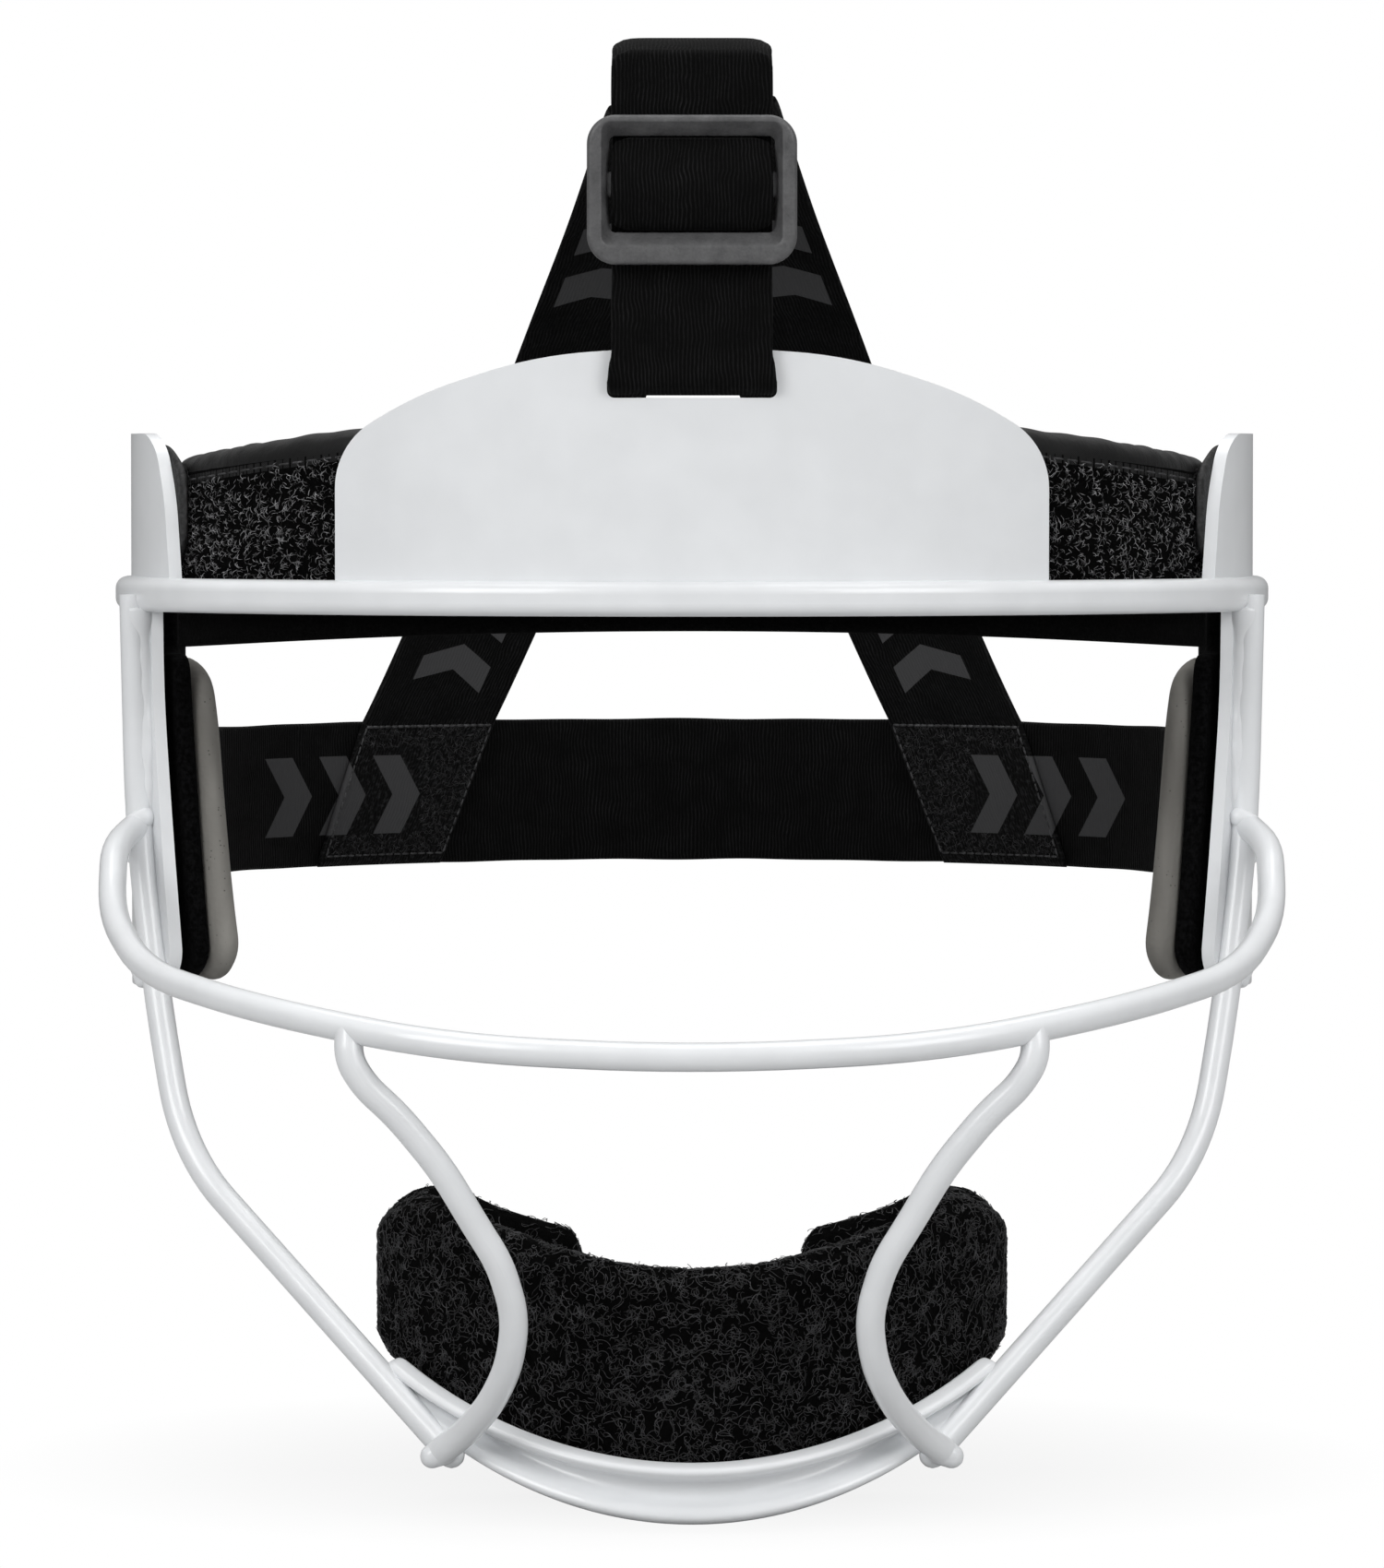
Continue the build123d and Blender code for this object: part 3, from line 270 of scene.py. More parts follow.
def greyFoam():
    # Closed-cell grey foam: warm grey with soft bands, tiny pores darkened with painted shade and a dull
    # skin
    s = foamLook
    made, add = newMaterial("grey closed-cell foam")
    place = add("TexCoord").outputs["Object"]
    stretched = add("Mapping", place, Scale=s["bandStretch"])
    bands = add("TexNoise", stretched, 1 / s["bandSize"], 2, 0.5)
    pores = add("TexVoronoi", place, 1 / s["poreSize"], Randomness=1.0)
    deep = add("Math", pores, 0.16, operation="LESS_THAN")
    patches = add("TexNoise", place, 1 / s["speckSize"], 3, 0.5)
    # The pores are darkened in the colour in patches: painted shade in the holes
    poreShade = add("Math", deep, add("Math", patches, 0.55, operation="GREATER_THAN"), operation="MULTIPLY")
    tone = add("MapRange", bands, 0.3, 0.7, 0, 1)
    skin = add("Mix", tone, colour(s["dark"]), colour(s["light"]), data_type="RGBA")
    poreShadeTone = add("Math", poreShade, s["poreShadeCover"], operation="MULTIPLY")
    base = add("Mix", poreShadeTone, skin, colour(s["poreShade"]), data_type="RGBA")
    relief = add("Bump", 0.5, s["poreDepth"], Height=pores)
    add("OutputMaterial", add("BsdfPrincipled", base, **{"Normal": relief, **s["finish"]}))
    return made


plasticLook = {
    "dark": "#454546",
    "light": "#606061",
    "blotchSize": 3.5 * mm,
    "grainSize": 0.5 * mm,
    "grainDepth": 0.06 * mm,
    "grainShare": 0.3,
    "finish": {"Roughness": 0.42, "Specular IOR Level": 0.45},
}


def sliderPlastic():
    # Moulded acetal: charcoal with a fine sparked mould grain, dull highlights on its edges
    s = plasticLook
    made, add = newMaterial("charcoal moulded acetal")
    place = add("TexCoord").outputs["Object"]
    blotch = add("TexNoise", place, 1 / s["blotchSize"], 4, 0.6)
    grain = add("TexNoise", place, 1 / s["grainSize"], 3, 0.6)
    blotchPart = add("Math", blotch, 1 - s["grainShare"], operation="MULTIPLY")
    grainPart = add("Math", grain, s["grainShare"], operation="MULTIPLY")
    tone = add("MapRange", add("Math", blotchPart, grainPart, operation="ADD"), 0.35, 0.65, 0, 1)
    base = add("Mix", tone, colour(s["dark"]), colour(s["light"]), data_type="RGBA")
    relief = add("Bump", 0.8, s["grainDepth"], Height=grain)
    add("OutputMaterial", add("BsdfPrincipled", base, **{"Normal": relief, **s["finish"]}))
    return made


steelLook = coatedSteel()
satinCloth = satin()
foamGrey = greyFoam()
plastic = sliderPlastic()
dull = {"Roughness": 0.95, "Specular IOR Level": 0.06}
padFoam = plainFabric("black pad foam", "#010101", "#060606", 0.7 * mm, 0.1 * mm, **dull)
loopCloth = plainFabric("black brushed loop", "#010101", "#080808", 0.6 * mm, 0.2 * mm, **dull)
# The loop pile's fibres run from black to light grey: the light grey is a painted highlight on black loops
loopPileHighlight = plainFabric("loop pile fibre, painted highlight", "#040404", "#c4c4c6", 1.2 * mm, 0.02 * mm, Roughness=0.5)
hookTape = plainFabric("black hook tape", "#050505", "#303031", 0.8 * mm, 0.25 * mm, Roughness=0.6)
terryCloth = plainFabric("black terry ground", "#010101", "#060606", 0.7 * mm, 0.3 * mm, **dull)
# The black terry loops are coloured mid grey: a painted highlight on black loops
terryLoopHighlight = plainFabric("black terry loop, painted highlight", "#141415", "#48484a", 1.6 * mm, 0.02 * mm, Roughness=0.45)
backingCloth = plainFabric("black ribbed backing", "#010101", "#101011", 0.8 * mm, 0.2 * mm, **dull)
thread = plainFabric("black sewing thread", "#1b1b1c", "#4a4a4c", 1 * mm, 0.02 * mm, Roughness=0.6)
print("materials made")


# Shapes worked out as grids of points


def quads(rows, around, closed=False):
    # Four-sided faces between rings of points; closed joins the last ring to the first
    r, c = np.meshgrid(np.arange(rows if closed else rows - 1), np.arange(around), indexing="ij")
    below, beside = (r + 1) % rows, (c + 1) % around
    corners = [r * around + c, below * around + c, below * around + beside, r * around + beside]
    return np.stack(corners, -1).reshape(-1, 4)


def ringShape(rings, closed=False):
    # Closed shape from rings (count, around, 3): capped at both ends unless the rings close on themselves
    count, around = rings.shape[:2]
    faces = quads(count, around, closed).tolist()
    if not closed:
        last = (count - 1) * around
        faces += [list(range(around)), list(range(last, last + around))]
    return rings.reshape(-1, 3), faces


def makePiece(name, shape, looks, body, node=None, uvs=None):
    # shape is points (n, 3) and faces, each a list of indices; uvs is {name: (n, 2)}
    points, faces = shape
    mesh = bpy.data.meshes.new(name)
    mesh.from_pydata(np.asarray(points, float).tolist(), [], faces)
    corner = np.zeros(len(mesh.loops), np.int64)
    mesh.loops.foreach_get("vertex_index", corner)
    for key, value in (uvs or {}).items():
        layer = mesh.uv_layers.new(name=key)
        layer.data.foreach_set("uv", np.asarray(value, float)[corner].ravel())
    turned = bmesh.new()
    turned.from_mesh(mesh)
    bmesh.ops.recalc_face_normals(turned, faces=turned.faces)
    turned.to_mesh(mesh)
    turned.free()
    mesh.polygons.foreach_set("use_smooth", [True] * len(mesh.polygons))
    mesh.materials.append(looks)
    made = bpy.data.objects.new(name, mesh)
    bpy.context.scene.collection.objects.link(made)
    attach(made, body)
    if node:
        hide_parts(node)
    return made


def unit(vectors):
    # Each vector divided by its length
    return vectors / np.maximum(np.linalg.norm(vectors, axis=-1, keepdims=True), 1e-12)


def gridOf(x, y, z):
    # Points (rows, columns, 3) from coordinates that are spread over the grid
    return np.stack(np.broadcast_arrays(x, y, z), -1)


def gridNormals(points):
    # The cross product of the grid's steps down and beside, at unit length
    down, beside = np.gradient(points, axis=0), np.gradient(points, axis=1)
    return unit(np.cross(down, beside))


def middleOf(grid):
    # The point, or the normal, at the middle of a grid
    return grid[grid.shape[0] // 2, grid.shape[1] // 2]


def runAlong(points):
    # Distance from the first point, measured along the points
    return np.concatenate([[0], np.cumsum(np.linalg.norm(np.diff(points, axis=0), axis=1))])


def readAt(at, run, values):
    # Each column of values, read at the places at
    return np.stack([np.interp(at, run, column) for column in values.T], -1)


def edgeShape(distance, radius):
    # Height of a quarter circle at a distance from the edge, 1 past the radius
    t = np.clip(distance / radius, 0, 1)
    return np.sqrt(np.maximum(1 - (1 - t) ** 2, 0))


def slab(middle, thickness):
    # Closed shape round a middle surface (rows, columns, 3): its side columns meet in one edge
    half = gridNormals(middle) * np.asarray(thickness)[..., None] / 2
    front, back = middle + half, middle - half
    return ringShape(np.concatenate([front, back[:, -2:0:-1]], 1))


def slabUv(u, v, backShift=0.0):
    # The same ring order as in slab; the back face may be shifted along u so that prints miss it
    front = np.stack([u, v], -1)
    back = np.stack([u + backShift, v], -1)
    return np.concatenate([front, back[:, -2:0:-1]], 1).reshape(-1, 2)


def tubes(paths, radii, around, hint=(0.31, 0.17, 0.93)):
    # Closed round threads along many paths (n, steps, 3) at once; hint is a way that no path runs
    count, steps = paths.shape[:2]
    along = unit(np.gradient(paths, axis=1))
    side = unit(np.cross(along, np.broadcast_to(hint, along.shape)))
    up = np.cross(side, along)
    turn = np.arange(around) * 2 * pi / around
    radii = np.broadcast_to(np.asarray(radii, float), (count, steps))[..., None, None]
    ring = side[:, :, None] * np.cos(turn)[:, None] + up[:, :, None] * np.sin(turn)[:, None]
    points = paths[:, :, None] + ring * radii
    shift = (np.arange(count) * steps * around)[:, None, None]
    faces = (quads(steps, around)[None] + shift).reshape(-1, 4).tolist()
    starts = np.arange(count)[:, None] * steps * around + np.arange(around)
    faces += starts.tolist() + (starts + (steps - 1) * around).tolist()
    return points.reshape(-1, 3), faces


def spaced(points, step):
    # The same line at even steps, and the run at each point
    points = np.asarray(points, float)
    run = runAlong(points)
    keep = np.concatenate([[True], np.diff(run) > 1e-9])
    points, run = points[keep], run[keep]
    at = np.linspace(0, run[-1], max(int(round(run[-1] / step)), 2) + 1)
    return readAt(at, run, points), at


def smoothLine(points, step):
    # A Catmull-Rom curve through the points, at even steps
    p = np.asarray(points, float)
    p = np.vstack([2 * p[0] - p[1], p, 2 * p[-1] - p[-2]])
    t = np.linspace(0, 1, 24, endpoint=False)[:, None]
    parts = []
    for a, b, c, d in zip(p, p[1:], p[2:], p[3:]):
        square, cube = 2 * a - 5 * b + 4 * c - d, 3 * b - a - 3 * c + d
        parts.append(0.5 * (2 * b + (c - a) * t + square * t**2 + cube * t**3))
    return spaced(np.vstack(parts + [p[-2:-1]]), step)


def smoothTable(at, xs, ys):
    # Cubic pieces through the table, with a common slope where two meet
    slope = np.diff(ys) / np.diff(xs)
    tangent = np.concatenate([[slope[0]], (slope[1:] + slope[:-1]) / 2, [slope[-1]]])
    k = np.clip(np.searchsorted(xs, at, side="right") - 1, 0, len(xs) - 2)
    h = xs[k + 1] - xs[k]
    t = (at - xs[k]) / h
    a, b = 2 * t**3 - 3 * t**2 + 1, t**3 - 2 * t**2 + t
    c, d = -2 * t**3 + 3 * t**2, t**3 - t**2
    return a * ys[k] + b * h * tangent[k] + c * ys[k + 1] + d * h * tangent[k + 1]


class Oval:
    # A plan line: an arc across the front, a tighter one round each corner, then straight tails
    def __init__(self, halfWidth, frontShare, cornerShare, frontY, tailAngle=180):
        self.halfWidth = halfWidth
        self.frontRadius = halfWidth * frontShare
        self.cornerRadius = halfWidth * cornerShare
        step = self.frontRadius - self.cornerRadius
        self.cornerX = halfWidth - self.cornerRadius
        self.joint = asin(self.cornerX / step)
        self.frontCentreY = frontY + self.frontRadius
        self.cornerY = self.frontCentreY - step * cos(self.joint)
        self.tail = radians(tailAngle)

    def place(self, inset, angle, tailRun=0.0):
        # x, y for arrays of insets, angles in radians and runs past the angle
        inset, angle = np.broadcast_arrays(np.asarray(inset, float), np.asarray(angle, float))
        turn, side = np.abs(angle), np.where(angle < 0, -1.0, 1.0)
        front = turn <= self.joint
        radius = np.where(front, self.frontRadius, self.cornerRadius) - inset
        x = np.where(front, 0.0, self.cornerX) + radius * np.sin(turn) + tailRun * np.cos(turn)
        y = np.where(front, self.frontCentreY, self.cornerY) - radius * np.cos(turn)
        return side * x, y + tailRun * np.sin(turn)

    def sidePlace(self, inset, y, insetMiddle):
        # Left-hand x, y at the side-view place y of the middle inset
        radius = self.cornerRadius - insetMiddle
        turn = np.arccos(np.clip((self.cornerY - y) / radius, -1, 1))
        turn = np.minimum(turn, self.tail)
        tailY = self.cornerY - radius * cos(self.tail)
        run = np.maximum(y - tailY, 0) / sin(self.tail)
        return self.place(inset, turn, run)


cage = Oval(94 * mm, 1.17, 0.638, -12.5 * mm, 100)
chin = Oval(53.486 * mm, 1.1215, 0.355, -24.6 * mm)


def edgeSteps(count, width, rounding):
    # Places from -width/2 to width/2 that crowd towards both rounded edges
    flat = np.linspace(-width / 2 + rounding, width / 2 - rounding, count)
    t = (1 - np.cos(np.linspace(0, pi / 2, 4, endpoint=False))) * rounding
    return np.concatenate([-width / 2 + t, flat, width / 2 - t[::-1]])


# Straps

strapSize = {
    "width": 25.4 * mm,
    "thickness": 1.4 * mm,
    "columns": 22,
    "step": 0.9 * mm,
    "endRun": 0.5 * mm,
    "endShare": 0.35,
    "wander": 0.12 * mm,
    "wanderRuns": (4.1 * mm, 17 * mm),
}


def strapThickness(run, edge):
    # Round selvedges, and ends that thin over a short run
    ends = edgeShape(np.minimum(run, run[-1] - run), strapSize["endRun"])
    body = strapSize["thickness"] * edgeShape(edge, strapSize["thickness"] / 2)[None]
    return body * np.maximum(ends, strapSize["endShare"])[:, None]


def layStrap(name, shape, looks, body, node, uvs):
    # Every strap is made as one piece
    made = makePiece(name, shape, looks, body, node, uvs)


def strapPiece(name, path, across, looks, body, node, printUv=None, endRounding=(0, 0), form=None):
    # A flat band: its middle line is path (n, 3) and its width runs along the unit vector across
    path, run = spaced(path, strapSize["step"])
    halfWidth = strapSize["width"] / 2
    half = np.full(len(run), halfWidth)
    for rounding, distance in zip(endRounding, (run, run[-1] - run)):
        if rounding:
            half -= rounding * (1 - edgeShape(distance, rounding))
    offsets = edgeSteps(strapSize["columns"], strapSize["width"], strapSize["thickness"] / 2)
    share = offsets / halfWidth
    if form:
        # Pressed wider where it turns in the slot
        near = np.clip(1 - np.abs(path[:, 2] - form["slotZ"]) / form["slotReach"], 0, 1)
        half += form["slotExtra"] * np.sqrt(near)
    v = half[:, None] * share[None]
    across = np.broadcast_to(np.asarray(across, float), path.shape)
    middle = path[:, None] + across[:, None] * v[..., None]
    # The selvedge wanders a little, as knitted elastic does
    short, long = strapSize["wanderRuns"]
    wander = strapSize["wander"] * np.sin(run / short) * np.sin(run / long + 1)
    middle += across[:, None] * (wander[:, None] * share[None] ** 3)[..., None]
    if form:
        # Its edges droop over the crest: z - droop |share|^power
        rise = np.clip((path[:, 2] - form["droopZ"]) / form["droopReach"], 0, 1)
        middle[..., 2] -= form["droop"] * rise[:, None] * np.abs(share)[None] ** form["droopPower"]
    points, faces = slab(middle, strapThickness(run, halfWidth - np.abs(offsets)))
    uvs = {"strap": slabUv(np.broadcast_to(run[:, None], v.shape), v)}
    if printUv is not None:
        uvs["print"] = printUv(points)
    layStrap(name, (points, faces), looks, body, node, uvs)


def arc(centre, radius, start, end, count=40):
    # Points (a, b) of an arc in a plane, angles in degrees
    t = np.radians(np.linspace(start, end, count))
    return np.stack([centre[0] + radius * np.cos(t), centre[1] + radius * np.sin(t)], -1)


topStrap = {
    "frontY": -13.15 * mm,
    "freeZ": 86.9 * mm,
    "loopY": -10.88 * mm,
    "loopZ": 35.2 * mm,
    "loopRadius": 2.27 * mm,
    "clearZ": 41.9 * mm,
    "joinedY": -11.55 * mm,
    "joinedZ": 46.4 * mm,
    "bendRadius": 19.0 * mm,
    "crestZ": 89.1 * mm,
    "crestEndY": 25.45 * mm,
    "fallRadius": 429 * mm,
    "backY": 93.3 * mm,
    "endRounding": 2.6 * mm,
}
topForm = {
    "slotZ": 34.2 * mm,
    "slotReach": 4.2 * mm,
    "slotExtra": 0.75 * mm,
    "droopZ": 87.0 * mm,
    "droopReach": 1.6 * mm,
    "droop": 1.6 * mm,
    "droopPower": 11,
}


def topPath():
    # From the free end down the front, round the slot, up behind, over the crest and back to the crown
    s = topStrap
    front = [(s["frontY"], s["freeZ"]), (s["frontY"], s["loopZ"])]
    loop = arc((s["loopY"], s["loopZ"]), s["loopRadius"], 180, 360)
    behind = [(s["loopY"] + s["loopRadius"], s["clearZ"]), (s["joinedY"], s["joinedZ"])]
    bendPlace = (s["joinedY"] + s["bendRadius"], s["crestZ"] - s["bendRadius"])
    bend = arc(bendPlace, s["bendRadius"], 180, 90)
    fallEnd = 90 - degrees(asin((s["backY"] - s["crestEndY"]) / s["fallRadius"]))
    fall = arc((s["crestEndY"], s["crestZ"] - s["fallRadius"]), s["fallRadius"], 90, fallEnd)
    line = np.vstack([front, loop, behind, bend, fall])
    return np.column_stack([np.zeros(len(line)), line])


crest = {
    "endY": -15.0 * mm,
    "peakY": -17.0 * mm,
    "lowZ": 58.4 * mm,
    "highZ": 72.8 * mm,
    "power": 0.7,
    "endRounding": 2.4 * mm,
    "count": 30,
}


def crestPath():
    # The lifted strap: a half wave over the slider's middle bar, y = end + (peak - end) sin^power
    s = crest
    t = np.linspace(0, 1, s["count"])
    y = s["endY"] + (s["peakY"] - s["endY"]) * np.sin(pi * t) ** s["power"]
    return np.column_stack([np.zeros(s["count"]), y, s["lowZ"] + (s["highZ"] - s["lowZ"]) * t])


topElastic = elastic("knitted elastic, ribs along")
topEnds, crestEnds = (topStrap["endRounding"], 0), (crest["endRounding"], crest["endRounding"])
strapPiece(
    "top_strap_band", topPath(), (1, 0, 0), topElastic, "frame", "top_strap", None, topEnds, topForm
)
strapPiece("strap_crest_band", crestPath(), (1, 0, 0), topElastic, "slider", "strap_crest", None, crestEnds)

rear = {
    "radius": 90.96 * mm,
    "centreY": 79.1 * mm,
    "middleZ": -37.0 * mm,
    "layerInset": 1.9 * mm,
    "foldRun": 13.3 * mm,
    "tail": 100.0,
    "foldEnd": 111.0,
    "plateInset": 1.25 * mm,
}
# The print is laid on as the photo shows it: the photo's columns where the two groups start, its middle
# column and focal length in pixels, and the plane that the print is measured on
rearPrintPlace = {
    "startColumns": (288, 1053),
    "middleColumn": 751,
    "focal": 9140,
    "plane": 1.5,
    "cameraY": -1.35,
    "middleZ": -37.2 * mm,
    "outwardReach": 91.0 * mm,
}


def printU(points):
    # x as the camera sees it on the print's plane: x plane / distance from the camera
    return points[..., 0] * rearPrintPlace["plane"] / (points[..., 1] - rearPrintPlace["cameraY"])


def rearPrint(points):
    # Square to the view; outward faces are shifted out of the print
    s = rearPrintPlace
    reach = np.hypot(points[:, 0], points[:, 1] - rear["centreY"])
    u = printU(points) + np.where(reach > s["outwardReach"], 1.0, 0.0)
    return np.stack([u, points[:, 2] - s["middleZ"]], -1)


def rearArc(inset, start, end, count):
    # x, y round the back of the head, angles in degrees from the front
    t = np.radians(np.linspace(start, end, count))
    radius = rear["radius"] - inset
    return np.column_stack([radius * np.sin(t), rear["centreY"] - radius * np.cos(t)])


def rearPath():
    # From the folded end on the left side, out through the slot and back to the rear middle, then mirrored
    s = rear
    tail = radians(s["tail"])
    inner = rearArc(2 * s["layerInset"], s["foldEnd"], s["tail"], 16)
    # The fold past the plate's edge: half a turn about the slot
    t = np.radians(np.linspace(0, 180, 14))
    runs = s["foldRun"] - s["layerInset"] * np.sin(t)
    runs[[0, -1]] = s["foldRun"]
    fold = np.column_stack(cage.place(s["plateInset"] + s["layerInset"] * np.cos(t), tail, runs))
    half = np.vstack([inner, fold, rearArc(0, s["tail"], 180, 90)])
    line = np.vstack([half, (half * np.array([-1, 1]))[-2::-1]])
    return np.column_stack([line, np.full(len(line), s["middleZ"])])


rearStarts = [
    (column - rearPrintPlace["middleColumn"]) / rearPrintPlace["focal"] * rearPrintPlace["plane"]
    for column in rearPrintPlace["startColumns"]
]
rearElastic = elastic("printed elastic, rear", False, [("print", rearStarts, rearChevrons)])
strapPiece("rear_strap_band", rearPath(), (0, 0, 1), rearElastic, "frame", "rear_strap", rearPrint)

vStrap = {
    "halfWidth": 13.7 * mm,
    "arcRadius": 89.37 * mm,
    "crownRadius": 106.96 * mm,
    "fanZ": -24.3 * mm,
    "lowZ": -49.7 * mm,
    "patchX": 47.4 * mm,
    "footX": 56.3 * mm,
    "layerStep": 1.6 * mm,
    "footEnd": 28 * mm,
    "lowerChevrons": 34.8 * mm,
    "crownChevrons": 113.6 * mm,
    "rows": 130,
    "footRows": 28,
}
# Shares along the V strap: place, outward, sideways, layer and flatness of its arc
vShares = np.array(
    [
        (0, 0, 1, 0, 1),
        (0.17, 0.08, 0.79, 0.3, 1),
        (0.34, 0.24, 0.56, 0.7, 1.1),
        (0.51, 0.48, 0.35, 1, 1.4),
        (0.68, 0.73, 0.17, 1, 2),
        (0.85, 0.91, 0.06, 1, 3),
        (1, 1, 0.01, 1, 4),
    ]
)


def vSurface(side, layer):
    # Sections of the V strap, each a short arc across; turn is the fan's angle from the rear to the crown
    s = vStrap
    t = np.linspace(0, 1, s["rows"])
    out, sideways, layers, flat = (smoothTable(t, vShares[:, 0], column) for column in vShares.T[1:])
    turn = np.radians(90 * t)
    radius = s["arcRadius"] + (s["crownRadius"] - s["arcRadius"]) * out + layer * layers * s["layerStep"] / 2
    arcRadius = s["arcRadius"] * flat
    centre = np.arcsin(s["patchX"] * sideways / arcRadius)
    offsets = edgeSteps(strapSize["columns"], 2 * s["halfWidth"], strapSize["thickness"] / 2)
    angle = centre[:, None] + offsets[None] / arcRadius[:, None]
    outward = (radius - arcRadius)[:, None] + arcRadius[:, None] * np.cos(angle)
    y = rear["centreY"] + outward * np.cos(turn)[:, None]
    z = s["fanZ"] + outward * np.sin(turn)[:, None]
    upper = gridOf(arcRadius[:, None] * np.sin(angle), y, z)
    # Foot, sewn flat on the inside of the rear strap
    f = np.linspace(1, 0, s["footRows"], endpoint=False)
    footX = s["patchX"] + (s["footX"] - s["patchX"]) * f
    angle = np.arcsin(footX / s["arcRadius"])[:, None] + offsets[None] / s["arcRadius"]
    lowerZ = s["fanZ"] + (s["lowZ"] - s["fanZ"]) * f
    lowerY = rear["centreY"] + s["arcRadius"] * np.cos(angle)
    lower = gridOf(s["arcRadius"] * np.sin(angle), lowerY, lowerZ[:, None])
    grid = np.concatenate([lower, upper])
    grid[..., 0] *= side
    return grid, offsets


def vStrapPiece(name, side, looks):
    # The right strap lies one layer under the left one at the crown
    grid, offsets = vSurface(side, side)
    run = runAlong(grid[:, grid.shape[1] // 2])
    shape = slab(grid, strapThickness(run, vStrap["halfWidth"] - np.abs(offsets)))
    u, v = np.broadcast_arrays(run[:, None], offsets[None])
    # The inner face carries the print; the outer one is shifted out of the print's range
    toMiddle = np.array([0, rear["centreY"], vStrap["fanZ"]]) - grid
    inward = np.sum(gridNormals(grid) * toMiddle, -1).mean() > 0
    ownUv = slabUv(u, v, 1.0) if inward else slabUv(u + 1.0, v, -1.0)
    uvs = {"strap": slabUv(u, v), "own": ownUv, "print": rearPrint(shape[0])}
    layStrap(f"v_strap_band_{name}", shape, looks, "frame", f"v_strap_{name}", uvs)
    return grid


vPrints = [
    ("own", [vStrap["lowerChevrons"]], lowerChevrons),
    ("own", [vStrap["crownChevrons"]], crownChevrons),
    ("print", rearStarts, rearChevrons),
]
vElastic = elastic("printed elastic, crown", True, vPrints, vStrap["footEnd"])
vGrids = {name: vStrapPiece(name, side, vElastic) for name, side in sides}
print("straps made")

# Strap slider

slider = {
    "width": 33.2 * mm,
    "height": 23.6 * mm,
    "corner": 4.6 * mm,
    "backY": -14.15 * mm,
    "frontY": -17.55 * mm,
    "z": 64.7 * mm,
    "window": (26.2 * mm, 15.2 * mm),
    "windowFront": (28.4 * mm, 19.4 * mm),
    "windowZ": 65.6 * mm,
    "windowCorner": 1.0 * mm,
    "rounding": 0.8 * mm,
    "backChamfer": 0.3 * mm,
    "lipShare": 0.68,
    "bevel": 0.12 * mm,
    "barHeight": 4.0 * mm,
    "barThickness": 1.6 * mm,
    "barCorner": 0.6 * mm,
    "barOverlap": 0.4 * mm,
}


def roundedRing(width, height, corner, z, y, count=16):
    # Ring of a rounded rectangle in the x-z plane at y, centred at height z
    points = []
    for k, (a, b) in enumerate(((1, 1), (-1, 1), (-1, -1), (1, -1))):
        x, up = a * (width / 2 - corner), b * (height / 2 - corner)
        t = np.radians(np.linspace(90 * k, 90 * k + 90, count))
        points.append(gridOf(x + corner * np.cos(t), y, z + up + corner * np.sin(t)))
    return np.vstack(points)


def makeSlider():
    # Rings from the window's back edge round the outside to the front, then down the bevelled window
    s = slider
    wide, tall, r = s["width"], s["height"], s["rounding"]
    chamfer, back, front = s["backChamfer"], s["backY"], s["frontY"]
    rings = [
        roundedRing(*s["window"], s["windowCorner"], s["windowZ"], back),
        roundedRing(wide - 2 * chamfer, tall - 2 * chamfer, s["corner"], s["z"], back),
        roundedRing(wide, tall, s["corner"], s["z"], back - chamfer),
    ]
    for t in np.linspace(0, pi / 2, 6):
        inset = 2 * r * (1 - cos(t))
        y = front + r * (1 - sin(t))
        rings.append(roundedRing(wide - inset, tall - inset, s["corner"] - inset / 2, s["z"], y))
    wideFront, tallFront = s["windowFront"]
    wideBack, tallBack = s["window"]
    lipY = front + s["lipShare"] * (back - front)
    # Width, height, corner, drop and y of each ring of the window, from its front edge to its back
    for width, height, corner, drop, y in (
        (wideFront + 0.5 * mm, tallFront + 0.5 * mm, 1.7 * mm, 0.1 * mm, front),
        (wideFront + 0.15 * mm, tallFront + 0.1 * mm, 1.6 * mm, 0, front + 0.12 * mm),
        (wideFront, tallFront - 0.2 * mm, 1.5 * mm, 0, front + 0.3 * mm),
        (wideBack + 0.1 * mm, tallBack + 0.3 * mm, 1.2 * mm, 0, lipY),
        (wideBack, tallBack, s["windowCorner"], 0, lipY + 0.2 * mm),
    ):
        rings.append(roundedRing(width, height, corner, s["windowZ"] - drop, y))
    shape = ringShape(np.array(rings), True)
    made = makePiece("slider_frame", shape, plastic, "slider", "strap_slider")
    bevel = made.modifiers.new("edges", "BEVEL")
    bevel.width, bevel.segments, bevel.limit_method, bevel.angle_limit = s["bevel"], 2, "ANGLE", radians(30)
    # The middle bar: a rounded section carried across the window
    half = wideBack / 2 + s["barOverlap"]
    section = roundedRing(s["barThickness"], s["barHeight"], s["barCorner"], 0, 0, 5)
    x = np.linspace(-half, half, 12)[:, None]
    middleY = back - s["barThickness"] / 2
    bar = ringShape(gridOf(x, middleY + section[:, 0], s["windowZ"] + section[:, 2]))
    makePiece("slider_bar", bar, plastic, "slider", "strap_slider")


makeSlider()
print("slider made")

# Forehead pad

